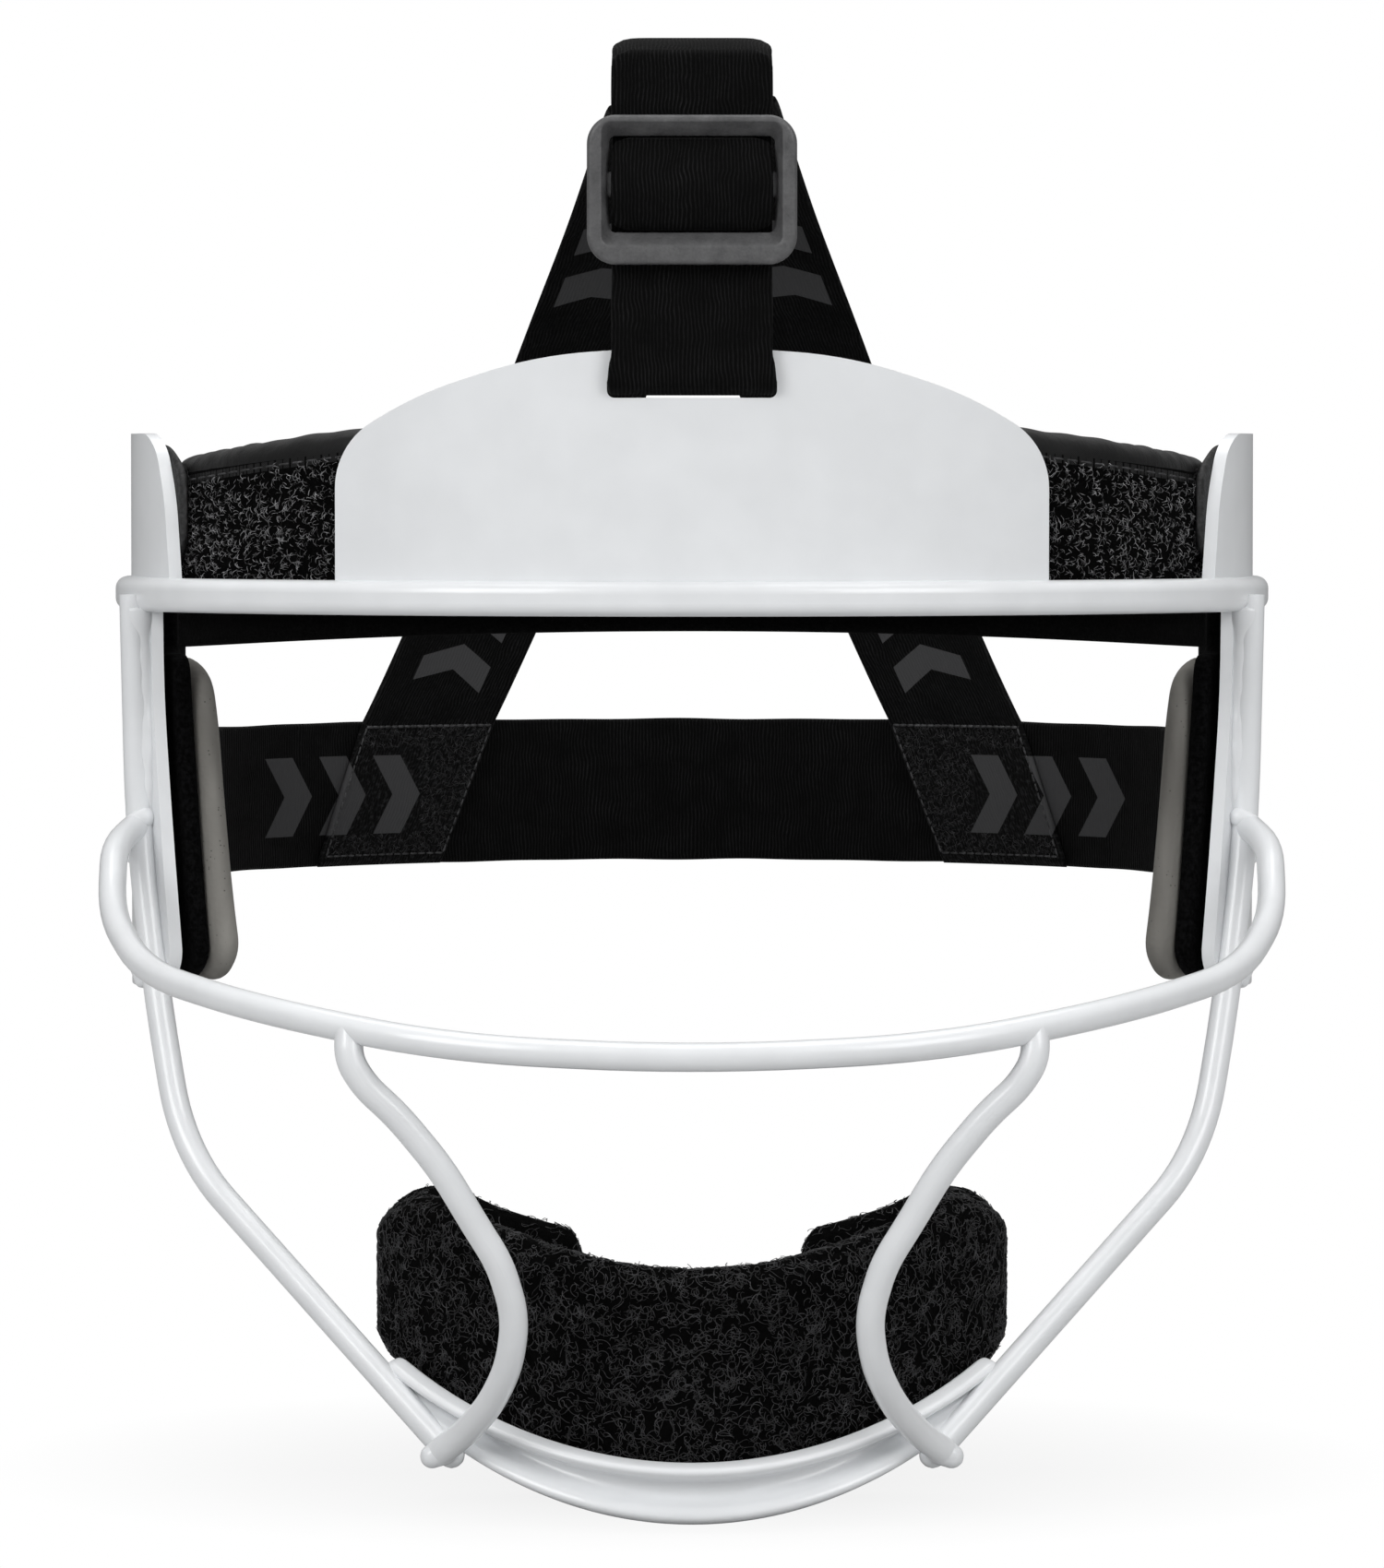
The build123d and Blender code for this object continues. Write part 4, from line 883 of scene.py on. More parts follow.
forehead = {
    "end": 64.6,
    "outer": 3.85 * mm,
    "inner": 12.5 * mm,
    "loopThickness": 1.2 * mm,
    "loopOverlap": 0.2 * mm,
    "topZ": 30.4 * mm,
    "topEndZ": 22.9 * mm,
    "lowZ": -5.2 * mm,
    "lowEndZ": -9.0 * mm,
    "topStep": 3.0 * mm,
    "foamRounding": 3.4 * mm,
    "loopRounding": 0.9 * mm,
    "edgeShare": 0.12,
    "binding": 5.2 * mm,
    "bindingCloth": 0.55 * mm,
    "bendShare": 0.72,
    "pull": 0.16 * mm,
    "uvRadius": 95 * mm,
    "flat": (31 * mm, 207 * mm),
    "bindingFlat": (17 * mm, 207 * mm),
}
loopPileForm = {
    "count": 3000,
    "length": 1.1 * mm,
    "radius": 0.055 * mm,
    "lift": 0.4 * mm,
    "steps": 5,
    "sides": 3,
    "curl": 0.8,
    "openX": 52 * mm,
    "openZ": 0.5 * mm,
    "belowTape": 0.7 * mm,
}
padEndX = float(cage.place(0, radians(forehead["end"]))[0])


def chordZ(x, middleZ, endZ):
    # Height of the arc through (0, middle) and (+-end x, end)
    drop = middleZ - endZ
    radius = (padEndX**2 + drop**2) / (2 * abs(drop))
    return middleZ - np.sign(drop) * (radius - np.sqrt(radius**2 - np.minimum(np.abs(x), padEndX) ** 2))


def padTop(x):
    # Height of the pad's top edge at x
    return chordZ(x, forehead["topZ"], forehead["topEndZ"])


def foreheadLayer(name, outer, inner, rounding, looks, node):
    # Grid over the pad's length and height, half-way between both insets from the cage's middle line
    rows, columns = 150, 26
    end = radians(forehead["end"])
    x, y = cage.place((outer + inner) / 2, np.linspace(-end, end, rows))
    top = padTop(x) - forehead["topStep"]
    low = chordZ(x, forehead["lowZ"], forehead["lowEndZ"])
    share = (1 - np.cos(np.linspace(0, pi, columns))) / 2
    grid = gridOf(x[:, None], y[:, None], low[:, None] + (top - low)[:, None] * share[None])
    z = grid[..., 2]
    run = runAlong(grid[:, 0, :2])
    ends = np.minimum(run, run[-1] - run)[:, None]
    edge = np.minimum(ends, np.minimum(z - low[:, None], top[:, None] - z))
    thickness = (inner - outer) * np.maximum(edgeShape(edge, rounding), forehead["edgeShare"])
    thickness[:, 0] = thickness[:, -1] = 0
    uvs = {"strap": slabUv(np.broadcast_to(run[:, None], z.shape), z)}
    return makePiece(name, slab(grid, thickness), looks, "forehead_pad", node, uvs), grid


def foreheadBinding():
    # Tape folded over the pad's top edge: a rounded hairpin section swept along the pad
    s = forehead
    angle = np.linspace(-radians(s["end"]), radians(s["end"]), 220)
    top = padTop(cage.place(0, angle)[0])
    outer, inner, depth, cloth = s["outer"], s["inner"], s["binding"], s["bindingCloth"]
    half, fall = (inner - outer) / 2, depth * s["bendShare"]
    # Half an oval outside, and the same shape one cloth's thickness inside it
    t = np.linspace(0, pi, 26)
    over, bend = 1 - np.cos(t), np.sin(t).clip(0) ** 0.8
    outside = np.column_stack([outer + half * over, -fall + fall * bend])
    inside = np.column_stack([inner - cloth + (cloth - half) * over, -fall + (fall - cloth) * bend])
    ends = [[(inner, -depth), (inner - cloth, -depth)], [(outer + cloth, -depth)]]
    outline = np.vstack([[(outer, -depth)], outside, ends[0], inside, ends[1]])
    # Small pulls where the tape is stretched round the bend
    pull = s["pull"] * np.sin(angle * 61) * np.sin(angle * 23 + 0.7)
    x, y = cage.place(outline[None, :, 0], angle[:, None])
    z = top[:, None] + outline[None, :, 1] + pull[:, None] * (outline[None, :, 1] > -depth * 0.7)
    u, v = np.meshgrid(angle * s["uvRadius"], runAlong(outline), indexing="ij")
    uvs = {"strap": np.stack([u, v], -1).reshape(-1, 2)}
    made = makePiece(
        "forehead_satin_binding",
        ringShape(gridOf(x, y, z)),
        satinCloth,
        "forehead_pad",
        "forehead_pad_binding",
        uvs,
    )


def tufts(name, grid, normals, form, looks, body, keep):
    # Short curled fibres on a surface: each runs in the tangent plane, bends by curl and stands up by lift
    count, steps, curl = form["count"], form["steps"], form["curl"]
    down, beside = grid[1:, :-1] - grid[:-1, :-1], grid[:-1, 1:] - grid[:-1, :-1]
    area = np.linalg.norm(np.cross(down, beside), axis=-1) * keep[:-1, :-1]
    share = np.cumsum(area.ravel())
    pick = np.searchsorted(share, random.random(count) * share[-1])
    row, column = np.unravel_index(np.minimum(pick, len(share) - 1), area.shape)
    a, b = random.random((2, count, 1))
    place = grid[row, column] * (1 - a) * (1 - b) + grid[row + 1, column] * a * (1 - b)
    place = place + grid[row, column + 1] * (1 - a) * b + grid[row + 1, column + 1] * a * b
    normal = normals[row, column]
    heading = unit(np.cross(normal, random.normal(size=(count, 3))))
    sideways = np.cross(normal, heading)
    t = np.linspace(-0.5, 0.5, steps)
    size = form["length"] * (0.6 + 0.8 * random.random((count, 1)))
    bendBy = curl * random.normal(size=(count, 1))
    twist = curl * random.normal(size=(count, 1))
    # Heading angle grows along the fibre: phi(t) = bend t + 2 twist t^2; x = sum cos phi, y = sum sin phi
    phi = bendBy * t + twist * (t**2) * 2
    step = size / (steps - 1)
    x = np.cumsum(np.cos(phi), 1) * step
    y = np.cumsum(np.sin(phi), 1) * step
    x, y = x - x.mean(1, keepdims=True), y - y.mean(1, keepdims=True)
    rise = form["lift"] * (0.4 + random.random((count, 1))) * np.cos(pi * t) - 0.02 * mm
    paths = place[:, None] + heading[:, None] * x[..., None]
    paths = paths + sideways[:, None] * y[..., None] + normal[:, None] * rise[..., None]
    thick = form["radius"] * (0.7 + 0.6 * random.random((count, 1))) * np.linspace(1, 0.75, steps)
    makePiece(name, tubes(paths, thick, form["sides"], normal[:, None]), looks, body)


def stitches(name, line, normals, slot, body, length=2.1 * mm, gap=0.8 * mm, radius=0.16 * mm):
    # Lockstitches along a line: short threads that dip into the cloth at both ends
    points, run = spaced(line, 0.3 * mm)
    normals = readAt(np.linspace(0, 1, len(run)), np.linspace(0, 1, len(normals)), normals)
    count = int(run[-1] / (length + gap))
    starts = (np.arange(count) + 0.5) * run[-1] / count - length / 2
    t = np.linspace(0, 1, 7)
    at = starts[:, None] + length * t[None]
    normal = unit(readAt(at, run, normals))
    rise = radius * (1.15 * np.sin(pi * t).clip(0) ** 0.6 - 0.75)
    paths = readAt(at, run, points) + normal * rise[None, :, None]
    makePiece(name, tubes(paths, radius, 6, normal), thread, body)


def foreheadStitches():
    # A row of stitches just above the binding's lower edge
    end = radians(forehead["end"] - 2)
    angle = np.linspace(-end, end, 300)
    x, y = cage.place(forehead["outer"] - 0.02 * mm, angle)
    z = padTop(cage.place(0, angle)[0]) - forehead["binding"] + 0.7 * mm
    line = np.column_stack([x, y, z])
    outward = np.column_stack([np.sin(angle), -np.cos(angle), 0 * angle])
    stitches("forehead_binding_stitches", line, outward, "satin_binding", "forehead_pad")


def makeForeheadPad():
    # Foam, loop face and binding, then the pile and the stitches on them
    s, pile = forehead, loopPileForm
    loopInset = s["outer"] + s["loopThickness"]
    foam, _ = foreheadLayer(
        "forehead_foam_body",
        loopInset,
        s["inner"],
        s["foamRounding"],
        padFoam,
        "forehead_pad_foam",
    )
    loopInner = loopInset + s["loopOverlap"]
    cloth, grid = foreheadLayer(
        "forehead_loop_cloth",
        s["outer"],
        loopInner,
        s["loopRounding"],
        loopCloth,
        "forehead_pad_loop_face",
    )
    foreheadBinding()
    # Loop pile: only where the plates leave it open
    normals = gridNormals(grid)
    if middleOf(normals)[1] > 0:
        normals = -normals
    face = grid + normals * (s["loopThickness"] + s["loopOverlap"]) / 2
    x, z = grid[..., 0], grid[..., 2]
    tapeLow = padTop(x) - s["binding"] - pile["belowTape"]
    openPlace = (np.abs(x) > pile["openX"]) & (z > pile["openZ"]) & (z < tapeLow)
    tufts("forehead_loop_pile", face, normals, pile, loopPileHighlight, "forehead_pad", openPlace)
    foreheadStitches()


makeForeheadPad()
print("forehead pad made")

# Sewn feet of the V straps

footForm = {
    "count": 900,
    "length": 1.0 * mm,
    "radius": 0.045 * mm,
    "lift": 0.12 * mm,
    "steps": 4,
    "sides": 3,
    "curl": 1.2,
    "rows": (2, 28),
    "columns": 4,
    "printHalf": 7.6 * mm,
    "printBefore": 0.4 * mm,
    "printRun": 28 * mm,
    "stitch": (1.3 * mm, 0.4 * mm, 0.17 * mm),
    "upperStitch": (1.1 * mm, 0.2 * mm, 0.26 * mm),
}


def sewFoot(name, grid):
    # A V strap's foot on the inner face of the rear strap: the box of lockstitches and the brushed loops
    s = footForm
    normals = gridNormals(grid)
    middle = np.array([0, rear["centreY"], rear["middleZ"]])
    if np.sum(normals[10, 10] * (middle - grid[10, 10])) < 0:
        normals = -normals
    (first, last), rim = s["rows"], s["columns"]
    patch = (grid + normals * strapSize["thickness"] / 2)[first:last, rim:-rim]
    turned = normals[first:last, rim:-rim]
    edges = [(0, slice(None)), (-1, slice(None)), (slice(None), 0), (slice(None), -1)]
    for k, edge in enumerate(edges):
        size = s["upperStitch"] if k == 1 else s["stitch"]
        stitches(f"v_foot_stitches_{name}_{k + 1}", patch[edge], turned[edge], "elastic", "frame", *size)
    # No loops on the printed chevrons
    ahead = printU(patch)[..., None] - np.array(rearStarts)
    printed = np.any((ahead > -s["printBefore"]) & (ahead < s["printRun"]), -1)
    printed &= np.abs(patch[..., 2] - rearPrintPlace["middleZ"]) < s["printHalf"]
    tufts(f"v_foot_brushed_{name}", patch, turned, s, thread, "frame", ~printed)


for name, grid in vGrids.items():
    sewFoot(name, grid)
print("feet sewn")

# Side pads

sidePad = {
    "frontY": 38.2 * mm,
    "length": 37.8 * mm,
    "bottomZ": -64.0 * mm,
    "shoulderZ": -9.8 * mm,
    "lobeFrontY": 45.0 * mm,
    "lobeTopZ": 15.0 * mm,
    "seat": 3.85 * mm,
    "backing": 3.0 * mm,
    "backingCorner": 3 * mm,
    "backingRounding": 1.2 * mm,
    "foam": 4.9 * mm,
    "foamCorner": 5 * mm,
    "foamRounding": 3.2 * mm,
    "foamCrown": 0.5 * mm,
    "outlineSteps": 220,
    "spineShare": 0.45,
    "spineLean": 3 * mm,
    "spineEnds": (12 * mm, 18 * mm),
    "foamSpineEnds": (17 * mm, 17 * mm),
}
# Corners below the shoulder, as shares of the length and of the drop from the shoulder to the bottom
backingShares = np.array([(0.0, 0.0), (-0.19, 0.93), (-0.06, 1.0), (0.85, 1.0), (1.0, 0.85)])
foamShares = np.array(
    [
        (0.08, 0.06),
        (0.0, 0.2),
        (-0.185, 0.91),
        (-0.09, 0.99),
        (0.80, 0.99),
        (0.97, 0.80),
        (0.97, 0.16),
        (0.75, 0.02),
        (0.25, 0.02),
    ]
)


def roundedLoop(points, radius, count):
    # Closed outline with each corner rounded, at even steps
    parts = []
    for before, corner, after in zip(np.roll(points, 1, 0), points, np.roll(points, -1, 0)):
        a, b = before - corner, after - corner
        reach = min(radius, 0.48 * np.linalg.norm(a), 0.48 * np.linalg.norm(b))
        a, b = unit(a) * reach, unit(b) * reach
        t = np.linspace(0, 1, 8)[:, None]
        parts.append(corner + a * (1 - t) ** 2 + b * t**2)
    loop = np.vstack(parts + [parts[0][:1]])
    return spaced(loop, runAlong(loop)[-1] / count)[0][:-1]


def cushion(outline, spine, outer, thickness, rounding, crown):
    # Pad seen from the side: rings from its outline in to a spine line; both faces are rounded at the rim
    a, b = np.array(spine, float)
    along = b - a
    t = np.clip(((outline - a) @ along) / (along @ along), 0, 1)
    core = a + t[:, None] * along
    reach = np.linalg.norm(outline - core, axis=1)
    middle = outer + thickness / 2
    share = 1 - np.cos(np.linspace(0, pi / 2, 16))
    share = np.unique(np.concatenate([share * 0.999, np.linspace(0, 0.25, 6)]))[:, None]
    flat = outline + (core - outline) * share[..., None]
    faces = []
    for sign, bulge in ((1, crown * np.sin(share * pi / 2)), (-1, 0)):
        inset = middle + sign * (thickness / 2) * edgeShape(share * reach, rounding) + bulge
        x, y = cage.sidePlace(inset, flat[..., 0], middle)
        faces.append(gridOf(x, y, flat[..., 1]))
    inner, back = faces
    # Back from its core out to the rim, then the inner face from the rim to its core
    return np.concatenate([back[::-1], inner[1:]])


def sidePads():
    # Both side pads: a lobed backing with a foam on it, each a cushion drawn in the side view
    s = sidePad
    corner = np.array([s["frontY"], s["shoulderZ"]])
    reach = np.array([s["length"], s["bottomZ"] - s["shoulderZ"]])
    back = s["frontY"] + s["length"]
    lobe = [(back, s["lobeTopZ"]), (s["lobeFrontY"], s["lobeTopZ"])]
    outline = np.vstack([[(s["lobeFrontY"], s["shoulderZ"])], corner + reach * backingShares, lobe])
    backing = roundedLoop(outline, s["backingCorner"], s["outlineSteps"])
    foam = roundedLoop(corner + reach * foamShares, s["foamCorner"], s["outlineSteps"])
    middleY, lean = s["frontY"] + s["length"] * s["spineShare"], s["spineLean"]
    (above, below), (foamAbove, foamBelow) = s["spineEnds"], s["foamSpineEnds"]
    spine = [(middleY + lean, s["lobeTopZ"] - above), (middleY - lean, s["bottomZ"] + below)]
    foamSpine = [(middleY, s["shoulderZ"] - foamAbove), (middleY - lean, s["bottomZ"] + foamBelow)]
    cloth = cushion(backing, spine, s["seat"], s["backing"], s["backingRounding"], 0)
    body = cushion(foam, foamSpine, s["seat"] + s["backing"], s["foam"], s["foamRounding"], s["foamCrown"])
    for name, side in sides:
        for piece, node, rings, looks, slot, fill in (
            ("backing_cloth", "backing", cloth, backingCloth, "loop_fabric", 1),
            ("foam_body", "foam", body, foamGrey, "grey_foam", 0.9),
        ):
            shape = ringShape(rings * np.array([side, 1, 1]))
            ridden, stood = f"side_pad_{name}", f"side_pad_{node}_{name}"
            made = makePiece(f"side_pad_{piece}_{name}", shape, looks, ridden, stood)


sidePads()
print("side pads made")

# Hook strips and tabs; the places on the plates are the lowest and highest y and z and the corner, in mm

hookStrip = {
    "inset": 2.85 * mm,
    "thickness": 1.3 * mm,
    "rounding": 0.5 * mm,
    "edgeShare": 0.2,
    "temple": (30.9, 71, 3.2, 24.6, 8),
    "cheek": (42.9, 74, -59.9, -3.2, 5),
    "litHooks": (30.6, 46, 4, 24.2, 7),
    "foreheadEnd": 25.5,
    "foreheadZ": (4, 26),
    "foreheadCorner": 5 * mm,
}
hookForm = {
    "count": 1500,
    "length": 0.55 * mm,
    "radius": 0.06 * mm,
    "lift": 0.06 * mm,
    "steps": 4,
    "sides": 3,
    "curl": 1.4,
    "belowZ": 21 * mm,
}
hookTab = {"angles": (101.5, 110), "half": 11.2 * mm, "rows": 20, "columns": 16}


def stripPiece(name, node, grid):
    # A strip of hook tape on its middle surface, with rounded edges
    flat = np.linalg.norm(grid[-1, 0] - grid[0, 0])
    tall = np.linalg.norm(grid[0, -1] - grid[0, 0])
    rows, columns = grid.shape[:2]
    r, c = np.arange(rows)[:, None] / (rows - 1), np.arange(columns)[None] / (columns - 1)
    edge = np.minimum(np.minimum(r, 1 - r) * flat, np.minimum(c, 1 - c) * tall)
    shape = np.maximum(edgeShape(edge, hookStrip["rounding"]), hookStrip["edgeShare"])
    thickness = hookStrip["thickness"] * shape
    thickness[:, 0] = thickness[:, -1] = 0
    makePiece(name, slab(grid, thickness), hookTape, "frame", node)


def ovalStrip(oval, inset, end, lowZ, highZ, corner, rows=60, columns=24):
    # Strip round an oval's front between two heights (functions of x), its corners rounded
    angle = np.linspace(-radians(end), radians(end), rows)
    x, y = oval.place(inset, angle)
    run = runAlong(np.column_stack([x, y]))
    cut = corner * (1 - edgeShape(np.minimum(run, run[-1] - run), corner))
    low, high = lowZ(x) + cut, highZ(x) - cut
    share = np.linspace(0, 1, columns)
    return gridOf(x[:, None], y[:, None], low[:, None] + (high - low)[:, None] * share[None])


def sideStrip(side, lowY, highY, lowZ, highZ, corner):
    # Strip on the inside of a temple or cheek plate, its corners rounded; sizes in mm
    y = np.linspace(lowY * mm, highY * mm, 60)
    cut = corner * mm * (1 - edgeShape(np.minimum(y - lowY * mm, highY * mm - y), corner * mm))
    share = np.linspace(0, 1, 26)
    z = (lowZ * mm + cut)[:, None] + ((highZ - lowZ) * mm - 2 * cut)[:, None] * share[None]
    x, y = cage.sidePlace(hookStrip["inset"], np.broadcast_to(y[:, None], z.shape), hookStrip["inset"])
    return gridOf(side * x, y, z)


def rearTab(side):
    # Hook tab between the rear strap's two layers at its folded end
    rows, columns = hookTab["rows"], hookTab["columns"]
    line = rearArc(rear["layerInset"], *hookTab["angles"], rows)
    z = rear["middleZ"] + np.linspace(-1, 1, columns) * hookTab["half"]
    return gridOf(side * line[:, :1], line[:, 1:], z[None])


tapeEdges = [partial(np.full_like, fill_value=z * mm) for z in hookStrip["foreheadZ"]]
foreheadTape = ovalStrip(
    cage, hookStrip["inset"], hookStrip["foreheadEnd"], *tapeEdges, hookStrip["foreheadCorner"]
)
stripPiece("forehead_hook_tape", "forehead_hook_strip", foreheadTape)
for name, side in sides:
    for plate in ("temple", "cheek"):
        tape = sideStrip(side, *hookStrip[plate])
        stripPiece(f"{plate}_hook_tape_{name}", f"{plate}_hook_strip_{name}", tape)
    stripPiece(f"rear_hook_tape_{name}", f"rear_hook_tab_{name}", rearTab(side))

# Hooks that catch the light on the front edge of the temple strips
for name, side in sides:
    temple = sideStrip(side, *hookStrip["litHooks"])
    normals = gridNormals(temple)
    if middleOf(normals)[0] * side > 0:
        normals = -normals
    keep = temple[..., 2] < hookForm["belowZ"]
    face = temple + normals * hookStrip["thickness"] / 2
    tufts(f"temple_hooks_{name}", face, normals, hookForm, hookTape, "frame", keep)
print("hook strips made")

# Chin plate and its hook tape

chinPlate = {
    "topZ": -136.0 * mm,
    "height": 9.9 * mm,
    "topRadius": 82.0 * mm,
    "bottomRadius": 67.5 * mm,
    "halfWidth": 47.4 * mm,
    "thickness": 1.8 * mm,
    "lipDepth": 4.2 * mm,
    "endRounding": 2.6 * mm,
}
chinTape = {
    "end": 37,
    "inset": 1.6 * mm,
    "topZ": -137.45 * mm,
    "topRadius": 82 * mm,
    "lowZ": -142.45 * mm,
    "lowRadius": 87 * mm,
    "corner": 1.5 * mm,
}


def smileZ(lowest, radius, x):
    # Height of an upturned arc, as seen from the front
    return lowest + radius - np.sqrt(radius**2 - np.asarray(x) ** 2)


def makeChinPlate():
    # Section carried round the chin's oval: two rolled lips with a hollow between
    s = chinPlate
    end = asin(s["halfWidth"] / chin.frontRadius)
    angle = np.linspace(-end, end, 150)
    x0, _ = chin.place(0, angle)
    top = smileZ(s["topZ"], s["topRadius"], x0)
    low = smileZ(s["topZ"] - s["height"], s["bottomRadius"], x0)
    half = s["thickness"] / 2 / mm
    deep = s["lipDepth"] / mm - half
    # Points in mm: outward from the plate's middle, and up from its top or its bottom edge
    upper = [
        (-half, -0.5),
        (0.0, -0.1),
        (0.3, 0.0),
        (1.2, -0.2),
        (deep * 0.92, -0.75),
        (deep, -1.45),
        (deep * 0.93, -2.1),
        (1.5, -2.75),
        (0.4, -2.95),
        (0.0, -3.5),
    ]
    lower = [
        (0.0, 5.0),
        (0.5, 4.1),
        (1.5, 3.45),
        (deep * 0.8, 2.8),
        (deep, 1.6),
        (deep * 0.93, 0.8),
        (1.3, 0.2),
        (0.4, 0.0),
        (-0.4, 0.15),
        (-half, 0.6),
        (-half, 2.5),
        (-half, 4.5),
    ]
    backTop = [(-half, -3.5), (-half, -1.5)]
    # The ends of the lips are rounded off
    run = np.abs(angle) * chin.frontRadius
    taper = edgeShape(run.max() - run, s["endRounding"])
    middle = (top + low) / 2
    columns = []
    for edge, points in ((top, upper), (low, lower), (top, backTop)):
        for out, up in points:
            out = out * mm * (0.35 + 0.65 * taper) if out > 0 else out * mm
            x, y = chin.place(-out, angle)
            z = middle + (edge + up * mm - middle) * (0.45 + 0.55 * taper)
            columns.append(np.column_stack([x, y, z]))
    shape = ringShape(np.stack(columns, 1))
    made = makePiece("chin_plate_rolled", shape, steelLook, "frame", "chin_plate")
    smooth = made.modifiers.new("coat", "SUBSURF")
    smooth.levels = smooth.render_levels = 1


makeChinPlate()
chinStrip = ovalStrip(
    chin,
    chinTape["inset"],
    chinTape["end"],
    partial(smileZ, chinTape["lowZ"], chinTape["lowRadius"]),
    partial(smileZ, chinTape["topZ"], chinTape["topRadius"]),
    chinTape["corner"],
    50,
    12,
)
stripPiece("chin_hook_tape", "chin_hook_strip", chinStrip)

# Chin pad

cup = {
    "outer": 2.6 * mm,
    "wall": 8.0 * mm,
    "crestZ": -96.6 * mm,
    "lowZ": -141.0 * mm,
    "floor": 5.0 * mm,
    "opening": 15.0 * mm,
    "openingRun": 5.5 * mm,
    "underInset": 3.2 * mm,
    "rim": 4.2 * mm,
    "rimInset": 4.0 * mm,
    "dome": 0.35 * mm,
    "innerRim": 4 * mm,
    "innerRimInset": 3.2 * mm,
}
# Height of the wall's top and of the underside, as shares of the cup's height over shares of its half width
cupTop = np.array(
    [(0, 0.78), (0.2, 0.795), (0.43, 0.85), (0.63, 0.92), (0.8, 1.0), (0.93, 0.93), (1.0, 0.77)]
)
cupLow = np.array([(0, 0), (0.39, 0.055), (0.75, 0.225), (0.925, 0.44), (1.0, 0.65)])
terryForm = {
    "count": 3400,
    "length": 2.7 * mm,
    "radius": 0.075 * mm,
    "lift": 0.17 * mm,
    "steps": 8,
    "sides": 3,
    "curl": 3.4,
}
restForm = {**terryForm, "count": 4200, "lift": 0.15 * mm}
# Rings of the cup: its outside and crest, all its walls, and the first one inside; and where its front ends
terryPlace = {"outside": slice(4, 44), "walls": slice(4, 58), "insideRing": 42, "frontEndY": 22 * mm}


def makeCup():
    # Rings from the underside's middle, up the outer wall, over the crest and down to the floor inside
    s = cup
    half = chin.halfWidth - s["outer"]
    tall = s["crestZ"] - s["lowZ"]
    # Round the oval, then along the straight rear line to the middle, on both sides
    rearLine = np.linspace(0, chin.cornerX, 45)
    angle = np.concatenate([np.full(44, -pi), np.linspace(-pi, pi, 260), np.full(43, pi)])
    tail = np.concatenate([rearLine[:0:-1], np.zeros(260), rearLine[1:-1]])

    def underside(x):
        # Height of the underside: the table read at the share of the half width
        share = np.clip(np.abs(x) / half, 0, 1)
        return s["lowZ"] + tall * smoothTable(share, cupLow[:, 0], cupLow[:, 1])

    def ringAt(inset, z):
        # The oval at an inset, at heights z
        return np.column_stack([*chin.place(inset, angle, tail), z])

    xm, ym = chin.place(s["outer"] + s["wall"] / 2, angle, tail)
    share = np.clip(np.abs(xm) / half, 0, 1)
    lowZ = underside(xm)
    floorZ = lowZ + s["floor"]
    # Rear opening: the wall falls to the floor between both ends
    rearPart = np.abs(angle) > pi / 2
    openShare = np.where(rearPart, np.clip((np.abs(xm) - s["opening"]) / s["openingRun"], 0, 1), 1)
    wallZ = s["lowZ"] + tall * smoothTable(share, cupTop[:, 0], cupTop[:, 1])
    topZ = floorZ + (wallZ - floorZ) * edgeShape(openShare, 1.0)
    core = np.array([0, (ym.min() + ym.max()) / 2])

    def flatRing(inset, share, lift):
        # A ring drawn in towards the core, at a height over the underside
        x, y = chin.place(inset, angle, tail)
        x, y = core[0] + (x - core[0]) * share, core[1] + (y - core[1]) * share
        return np.column_stack([x, y, underside(x) + lift])

    underInset, inner = s["outer"] + s["underInset"], s["outer"] + s["wall"]
    rows = [flatRing(underInset, share, 0) for share in (0.25, 0.5, 0.75, 0.9)]
    rows.append(ringAt(underInset, lowZ + 0.1 * mm))
    # Outer wall: a full curve from the bottom rim to the crest
    height = topZ - lowZ
    rim = np.minimum(s["rim"], height * 0.45)
    for k in np.linspace(0, 1, 34):
        z = lowZ + height * (0.5 - 0.5 * np.cos(pi * (0.08 + 0.84 * k)))
        bend = edgeShape(np.minimum((z - lowZ) / rim, (topZ - z) / rim), 1.0)
        rows.append(ringAt(s["outer"] + (1 - bend) * s["rimInset"], z))
    for k in (0.3, 0.5, 0.7):
        rows.append(ringAt(s["outer"] + s["wall"] * k, topZ + s["dome"] * sin(pi * k) - 0.1 * mm))
    # Inner wall down to the floor
    height = np.maximum(topZ - floorZ, 0)
    rim = np.minimum(s["innerRim"], np.maximum(height * 0.45, 0.2 * mm))
    for k in np.linspace(0, 1, 16):
        z = topZ - 0.3 * mm - (height - 0.3 * mm) * (0.5 - 0.5 * np.cos(pi * (0.08 + 0.92 * k)))
        z = np.maximum(z, floorZ - 0.05 * mm)
        bend = edgeShape(np.clip((topZ - z) / rim, 0, 1), 1.0)
        rows.append(ringAt(inner - (1 - bend) * s["innerRimInset"], z))
    rows += [flatRing(inner + 0.3 * mm, share, s["floor"]) for share in (0.9, 0.7, 0.45, 0.2)]
    grid = np.stack(rows)
    made = makePiece("chin_pad_terry_cup", ringShape(grid), terryCloth, "chin_pad", "chin_pad_cup")
    return grid


